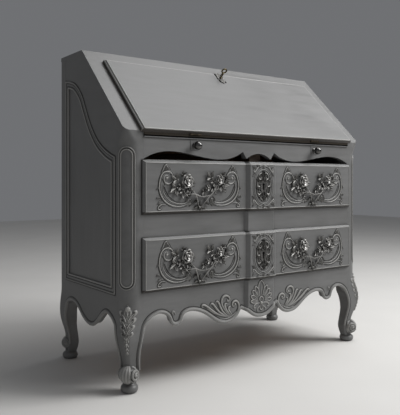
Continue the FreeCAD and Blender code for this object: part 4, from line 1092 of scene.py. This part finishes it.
# Centre blocks of the drawers: a carved oval around the keyhole plate with a crest above and leaves
# in the corners. They are part of the drawer front, painted with it.
CREST_SCROLL = ((2, 66), (14, 66), (26, 59), (34, 48), (41, 45), (42, 52), (36, 53))
FOOT_SCROLL = ((3, -64), (16, -62), (29, -54), (40, -42), (46, -44), (44, -51), (38, -49))
BLOCK_LEAVES = mm((((12, 58), (30, 67), 3, 4.5), ((32, 50), (47, 64), 3, 4.6), ((36, 44), (48, 34), -3, 4),
                   ((30, -54), (47, -64), 3, 5), ((38, -44), (49, -30), 3, 4.2),
                   ((14, -60), (30, -67), -3, 4.2)))
for level in DRAWERS:
    front = ground(nodes[level + "_drawer_front"])
    oval = []
    for half, tall, radius in mm(((37.5, 54.5, 1.8), (43, 60, 1.4))):
        angles = [2 * math.pi * index / 24 for index in range(24)]
        ring = [(half * math.sin(angle), tall * math.cos(angle)) for angle in angles]
        oval.append(strand(ring, radius, closed=True))
    for hand in (-1, 1):
        for line in (CREST_SCROLL, FOOT_SCROLL):
            oval.append(strand(sided(hand, line), [0.0014, 0.0026, 0.0024, 0.0016]))
        oval += sprigs(hand, BLOCK_LEAVES, 0.0040)
    oval.append(sprig((0, 0.056), (0, 0.0695), 0, 0.0070, 0.0045))
    oval.append(sprig((0, -0.056), (0, -0.0690), 0, 0.0065, 0.0045))
    # Its crests are painted lighter and its low places darker, as rubbing, highlight and shade.
    block = lay(gather(oval), front, (0, FRONT, mid_height(level + "_drawer_front")), RIGHT, 0.0032)
    finish_carving(block, level + "_centre_carving", level + "_drawer")


# Cast pulls of the main drawers: two rose sprays on crossing stems with a garland between them.
# They are dark pewter castings, fixed through the drawer front, the high places rubbed bright.
SPRAYS = ((-0.086, 0.021, 2.7, 0.021), (-0.088, -0.002, 3.6, 0.023), (-0.064, -0.014, 4.4, 0.018),
          (-0.038, 0.01, 0.2, 0.013), (-0.064, 0.034, 1.9, 0.012), (0.038, 0.026, 2.4, 0.021),
          (0.078, 0.002, 5.2, 0.019), (0.084, 0.008, 6, 0.018), (0.046, -0.004, 4.9, 0.016),
          (0.012, -0.012, 3.9, 0.013), (0.048, 0.014, 3.3, 0.014), (0.08, 0.034, 0.8, 0.012),
          (-0.07, 0.004, 3.9, 0.016), (-0.046, -0.006, 5, 0.014), (0.058, 0.002, 4.2, 0.015),
          (0.094, 0.022, 0.3, 0.013))
STEMS = mm((((-47, 6, 6), (-36, -8, 9), (-25, -20, 10), (-17, -36, 9), (-14, -50, 8), (-8, -63, 6)),
            ((60, 8, 6), (49, -5, 9), (39, -20, 10), (26, -29, 10), (9, -48, 8), (-6, -63, 6)),
            ((-68, -20, 5), (-48, -23, 8), (-26, -20, 11), (-12, -27, 9), (4, -30, 8), (18, -28, 9),
             (30, -26, 10))))
BLADES = mm((((-34, -14), (-52, -32), 6), ((-15, -38), (-30, -50), 4.8), ((14, -40), (26, -54), 4.8),
             ((-7, -64), (-6, -40), 5.8), ((-9, -58), (-27, -63), 4.8), ((-6, -58), (11, -63), 4.8),
             ((-8, -54), (-8, -70), 6.2)))
ROSE_PETALS = ((3, 0.0022, 0.0066, 0.0135, 0.0068, 0.4), (5, 0.0056, 0.0092, 0.0102, 0.0080, 0.9),
               (6, 0.0100, 0.0102, 0.0066, 0.0070, 0.2))
ROSE_CUP = mm(((0, 0), (6.5, 0), (5.5, 4), (8, 9), (9.5, 12.5), (0, 14)))
STUD = mm(((0, -1), (4.8, -1), (4.2, 6), (3, 10), (0, 11)))
PULL_HEIGHT, PULL_FLATNESS = 0.0165, 0.76


def blade(base, tip, width, lift, cup):
    """A cast leaf standing off the drawer, its edge notched and its rib sunk."""
    start, end = Vector(base), Vector(tip)
    length = (end - start).length
    run = (end - start).normalized()
    side = Vector((-run.y, run.x))
    piece = leaf((0, 0), (length, 0), 0.0, width, 0.0022, 4, 18, 8)
    for vertex in piece.data.vertices:
        t = vertex.co.x / length
        spot = start + run * vertex.co.x + side * vertex.co.y
        vertex.co = (spot.x, spot.y, lift + cup * t * t - 0.25 * abs(vertex.co.y) + vertex.co.z)
    return piece


def petal(angle, inner, size, lift, curl):
    """A cupped petal of a rose."""
    piece = grid(9, 9)
    for vertex in piece.data.vertices:
        t, across = (vertex.co.x + 1) / 2, vertex.co.y
        swing = angle + across * (0.30 + 0.52 * math.sin(math.pi * min(1.0, 0.15 + t)))
        reach = inner + size * t * (1 - 0.12 * across * across)
        rise = lift + curl * math.sin(1.9 * t) - 0.0012 * across * across - (0.003 * max(0.0, t - 0.8) / 0.2)
        vertex.co = (reach * math.cos(swing), reach * math.sin(swing), rise)
    return backed(piece, 0.0013)


def rose(x, y, share):
    """A full rose of cupped petals on a short stalk."""
    pieces = [bead((0, 0), 0.0046, 0.0052)]
    pieces[0].data.transform(Matrix.Translation((0, 0, 0.0150)))
    for count, inner, size, lift, curl, start in ROSE_PETALS:
        for index in range(count):
            pieces.append(petal(start + 2 * math.pi * index / count, inner, size, lift, curl))
    pieces.append(turned(ROSE_CUP, (0, 0, 0), UP, 10, 16))
    for piece in pieces:
        scale = Matrix.Diagonal((share, share, 0.4 + 0.6 * share, 1))
        piece.data.transform(Matrix.Translation((x, y, 0)) @ scale)
    return pieces


def spray_of_roses():
    """One pull, drawn flat about the middle of its field."""
    pieces = rose(-0.052, 0.017, 1.10) + rose(0.068, 0.021, 0.84) + rose(0.022, -0.003, 0.58)
    for u, w, angle, size in SPRAYS:
        for swing in (-1.0, 0.0, 1.0):
            reach = 1.3 * size * (1.0 if swing == 0 else 0.80)
            tip = (u + reach * math.cos(angle + swing), w + reach * math.sin(angle + swing))
            pieces.append(blade((u, w), tip, size * 0.36, 0.006, 0.007))
        pieces.append(bead((u, w), size * 0.19, 0.0110))
    for line in STEMS:
        pieces.append(strand(line, [0.0014, 0.0024, 0.0025, 0.0024, 0.0016]))
    for base, tip, width in BLADES:
        pieces.append(blade(base, tip, width, 0.005, 0.003))
    for x, y in mm(((-8, -60), (-53, 17), (68, 21))):
        pieces.append(turned(STUD, (x, y, 0), UP, 8, 16))
    for piece in pieces:
        mark(piece, lambda spot: spot.z / PULL_HEIGHT)
        piece.data.transform(Matrix.Diagonal((1, 1, PULL_FLATNESS, 1)))
    return gather(pieces)


for level in DRAWERS:
    pulls = []
    middle = mid_height(level + "_drawer_front")
    for sign in (-1, 1):
        pull = spray_of_roses()
        pull.data.transform(upright(sign * FIELD_X, FRONT - BREAK_DEPTH, middle))
        pulls.append(outward(pull))
    finish_piece(gather(pulls), level + "_drawer_rose_pulls", level + "_drawer", pewter,
                 [level + "_drawer_pulls"])


# Keyhole plates of the main drawers: pierced cartouches of scrolls and leaves round a keyhole boss.
# They are dark pewter castings, pinned on the centre blocks.
PLATE_SCROLLS = mm((((4, 44), (14, 42), (22, 34), (20, 24), (12, 22), (10, 29), (15, 31)),
                    ((26, 30), (30, 16), (27, 2), (18, -2), (13, 6), (18, 12)),
                    ((28, 0), (29, -16), (23, -26), (13, -24), (12, -16), (18, -15)),
                    ((22, -28), (14, -37), (5, -44), (1, -47)),
                    ((8, 20), (10, 6), (9, -10), (5, -22), (1, -30))))
PLATE_LEAVES = mm((((6, 30), (3, 50), 2, 4.5), ((20, -12), (31, -4), 0, 4.2), ((18, 16), (31, 23), 0, 4.2),
                   ((8, -32), (20, -38), 0, 4.2)))


def oval_plate(around, half, tall, thick, waves=0, swell=(0.0, 0.0), middle=0.0):
    """A flat oval plate, its edge lobed by waves that swell it."""
    def place(rise, turn):
        angle, ripple = 2 * math.pi * turn, math.cos(waves * math.pi * turn)
        return Vector(((half + swell[0] * ripple) * math.sin(angle),
                       middle + (tall + swell[1] * ripple) * math.cos(angle), thick * rise))
    return skin(2, around, place)


def leaf_ring(count, turn, half, tall, reach, width, height):
    """Small leaves that stand out from an oval."""
    pieces = []
    for index in range(count):
        angle = 2 * math.pi * (index + turn) / count
        base = Vector((half * math.sin(angle), tall * math.cos(angle)))
        pieces.append(sprig(base, base * reach, 0.0, width, height))
    return pieces


for level in DRAWERS:
    escutcheon = level + "_drawer_escutcheon"
    stand = upright(0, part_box(escutcheon)[1].y, mid_height(escutcheon))
    plate = [oval_plate(96, 0.0290, 0.0440, 0.0016, 16, (0.0026, 0.0030))]
    plate += leaf_ring(14, 0.5, 0.021, 0.034, 1.42, 0.0044, 0.0046)
    for hand in (-1, 1):
        for line in PLATE_SCROLLS:
            plate.append(strand([(hand * u, w, 0.0012) for u, w in line],
                                [0.0010, 0.0019, 0.0021, 0.0018, 0.0010]))
        plate += sprigs(hand, PLATE_LEAVES, 0.0044)
    plate.append(sprig((0, -0.030), (0, -0.0475), 0, 0.0055, 0.0048))
    plate += leaf_ring(9, 0, 0.010, 0.018, 1.75, 0.0046, 0.0056)
    for piece in plate:
        mark(outward(piece), lambda spot: spot.z / 0.0038)
    boss = gather(plate)
    boss.data.transform(stand)
    finish_piece(outward(boss), level + "_drawer_keyhole_cartouche", level + "_drawer",
                 pewter, [escutcheon])
    # The keyhole is two flat plates painted near black as the shade inside the hole.
    hole = gather([oval_plate(24, 0.0036, 0.0036, 0.0026, middle=0.006),
                   oval_plate(24, 0.0019, 0.0085, 0.0026, middle=-0.003)])
    hole.data.transform(stand)
    finish_piece(outward(hole), level + "_drawer_keyhole", level + "_drawer", keyhole_shade)


# Loper knobs: small turned balls on a neck with a ring, of dark polished metal.
# Each is screwed into the end of its loper.
KNOB = mm(((0, 0), (8.5, 0), (9, 1.6), (6, 3), (4.6, 5.2), (5, 6.6), (9, 8.5), (12.1, 12.5), (13, 17),
           (12, 22), (8.5, 26.8), (4, 29.4), (0, 30)))
for side in ("left", "right"):
    low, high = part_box(side + "_loper_knob")
    knob = turned(KNOB, ((low.x + high.x) / 2, high.y, (low.z + high.z) / 2), (0, -1, 0), 40, 36)
    finish_piece(knob, side + "_loper_turned_knob", side + "_loper", bright,
                 [side + "_loper_knob"])


# Fall flap edges: a light fillet round the face, a cut line and a round on the bevel, dark lines at the
# ends and a light line along the foot. They are worked on the board with a moulding plane. The fillet,
# the round and the foot line are painted lighter than the face as highlights, and the cut line and the
# end lines are painted dark as shadow.
SLANT = Matrix(((1, 0, 0, 0), (0, SLANT_UP.y, SLANT_OUT.y, HINGE.y), (0, SLANT_UP.z, SLANT_OUT.z, HINGE.z),
                (0, 0, 0, 1)))
spots = [SLANT.inverted() @ vertex.co for vertex in nodes["flap_board"].data.vertices]
wide, far, thick = (max(spot[axis] for spot in spots) for axis in range(3))
rims = []
for inset, rise, radius, level in ((0.0071, 0.0127, 0.0016, 1.0), (0.0049, 0.0107, 0.0012, 0.0),
                                   (0.0028, 0.0081, 0.0030, 0.62)):
    end, head = wide - inset, far - inset
    line = []
    for x, y in ((-end, 0.0030), (-end, far / 2), (-end, head), (0, head), (end, head), (end, far / 2),
                 (end, 0.0030)):
        line += [(x, y, rise)] * (3 if y == head and x else 1)
    rims.append(carved_line(line, radius, level, steps=3))
for hand in (-1, 1):
    line = [(hand * (wide - 0.0022), 0.0040 + (far - 0.0080) * index / 8, 0.0034) for index in range(9)]
    rims.append(carved_line(line, 0.0030, 0.0))
line = [((wide - 0.0080) * (index / 6 - 1), 0.0014, thick - 0.0017) for index in range(13)]
rims.append(carved_line(line, 0.0015, 1.0))
rim = gather(rims)
rim.data.transform(SLANT)
finish_carving(outward(rim), "flap_rim_fillets", "flap")


# Keyhole plate of the flap: a lobed rococo plate with scrolls, of dark pewter.
# It is pinned on the flap round the key.
KEY_PLACE = 0.30200
flap_plate = [oval_plate(96, 0.0105, 0.0265, 0.0020, 12, (0.0022, 0.0030))]
for hand in (-1, 1):
    for line in mm((((2, 27), (8, 22), (11, 14), (8, 9), (5, 12)), ((11, 10), (13, 1), (10, -6), (6, -3)),
                    ((10, -8), (9, -17), (4, -24), (1, -28)))):
        flap_plate.append(strand([(hand * u, w, 0.0020) for u, w in line], [0.0010, 0.0018, 0.0019, 0.0010]))
    flap_plate += sprigs(hand, mm((((6, 14), (15, 24), 0, 3.2), ((6, -14), (14, -24), 0, 3.2))), 0.0040)
for piece in flap_plate:
    mark(outward(piece), lambda spot: spot.z / 0.0046)
flap_keyhole = gather(flap_plate)
flap_keyhole.data.transform(SLANT @ Matrix.Translation((0, KEY_PLACE, thick)))
finish_piece(outward(flap_keyhole), "flap_keyhole_plate", "flap", pewter, ["flap_escutcheon"])


# Flap key: a brass key with an oval ring bow, a turned collar and a flat bit, standing in the flap's lock.
# It is cast and filed, and slides into the lock along the flap's own thickness.
SHANK = mm(((0, -9.8), (2.9, -9.8), (3, 12), (3, 18), (4.6, 19), (4.6, 20.5), (3.2, 21.5), (3.1, 29),
            (4.2, 30), (4.2, 32), (3, 33.5), (3.4, 37), (0, 38.5)))
key_pieces = [turned(SHANK, (0, KEY_PLACE, 0), UP, 48, 20)]
bow = []
for index in range(24):
    angle = 2 * math.pi * index / 24
    bow.append((0.0092 * math.sin(angle), KEY_PLACE, 0.0464 - 0.0076 * math.cos(angle)))
key_pieces.append(outward(strand(bow, 0.0026, closed=True, sides=3)))
deselect()
bpy.ops.mesh.primitive_cube_add(size=1)
bit = bpy.context.object
bit_size = Matrix.Diagonal((0.0028, 0.010, 0.0030, 1))
bit.data.transform(Matrix.Translation((0, KEY_PLACE - 0.005, -0.0083)) @ bit_size)
bevel = bit.modifiers.new("filed_edges", "BEVEL")
bevel.width = 0.0004
bevel.segments = 2
only(bit)
bpy.ops.object.modifier_apply(modifier=bevel.name)
key_pieces.append(bit)
flap_key = gather(key_pieces)
flap_key.data.transform(SLANT)
finish_piece(outward(flap_key), "flap_brass_key", "key", brass, ["key"])


# Floor, soft light and the view of the photograph: a pale matt floor under three area lamps.
# None of it belongs to the desk.
deselect()
bpy.ops.mesh.primitive_plane_add(size=14)
floor = bpy.context.object
floor.name = "floor"
floor.data.transform(Matrix.Translation((0, 0, -0.0002)))
floor_finish, floor_tree, floor_shader = coat("pale_floor")
speckle = add(floor_tree, "ShaderNodeTexNoise", {"Vector": here(floor_tree), "Scale": 3.0})
floor_tone = mix(floor_tree, speckle.outputs["Fac"], (0.60, 0.59, 0.57, 1), (0.66, 0.65, 0.63, 1))
floor_tree.links.new(floor_tone, floor_shader.inputs["Base Color"])
floor_shader.inputs["Roughness"].default_value = 0.7
floor.data.materials.append(floor_finish)

world = bpy.data.worlds.new("studio")
bpy.context.scene.world = world
world.use_nodes = True
sky = world.node_tree.nodes["Background"]
sky.inputs["Color"].default_value = (0.80, 0.82, 0.86, 1)
sky.inputs["Strength"].default_value = 0.20
for name, spot, aim, size, power in (("key", (2.5, -1.9, 2.8), (0.1, 0, 0.65), 1.6, 118),
                                     ("top", (1.0, -0.7, 3.1), (0.1, 0, 0.8), 2.2, 66),
                                     ("fill", (-2.6, -2.6, 1.2), (0, 0, 0.5), 2.2, 5)):
    lamp = bpy.data.lights.new(name, "AREA")
    lamp.size = size
    lamp.energy = power
    holder = bpy.data.objects.new(name, lamp)
    bpy.context.scene.collection.objects.link(holder)
    holder.location = spot
    holder.rotation_euler = (Vector(aim) - Vector(spot)).to_track_quat("-Z", "Y").to_euler()

lens = bpy.data.cameras.new("view")
lens.sensor_width = 36.0
lens.lens = 51.41
lens.shift_y = -0.0645
camera = bpy.data.objects.new("view", lens)
bpy.context.scene.collection.objects.link(camera)
camera.location = (-1.2846, -1.6545, 0.593)
camera.rotation_euler = (math.radians(90), 0, math.radians(-36.2))
bpy.context.scene.camera = camera
bpy.context.scene.view_settings.view_transform = "Standard"

deselect()
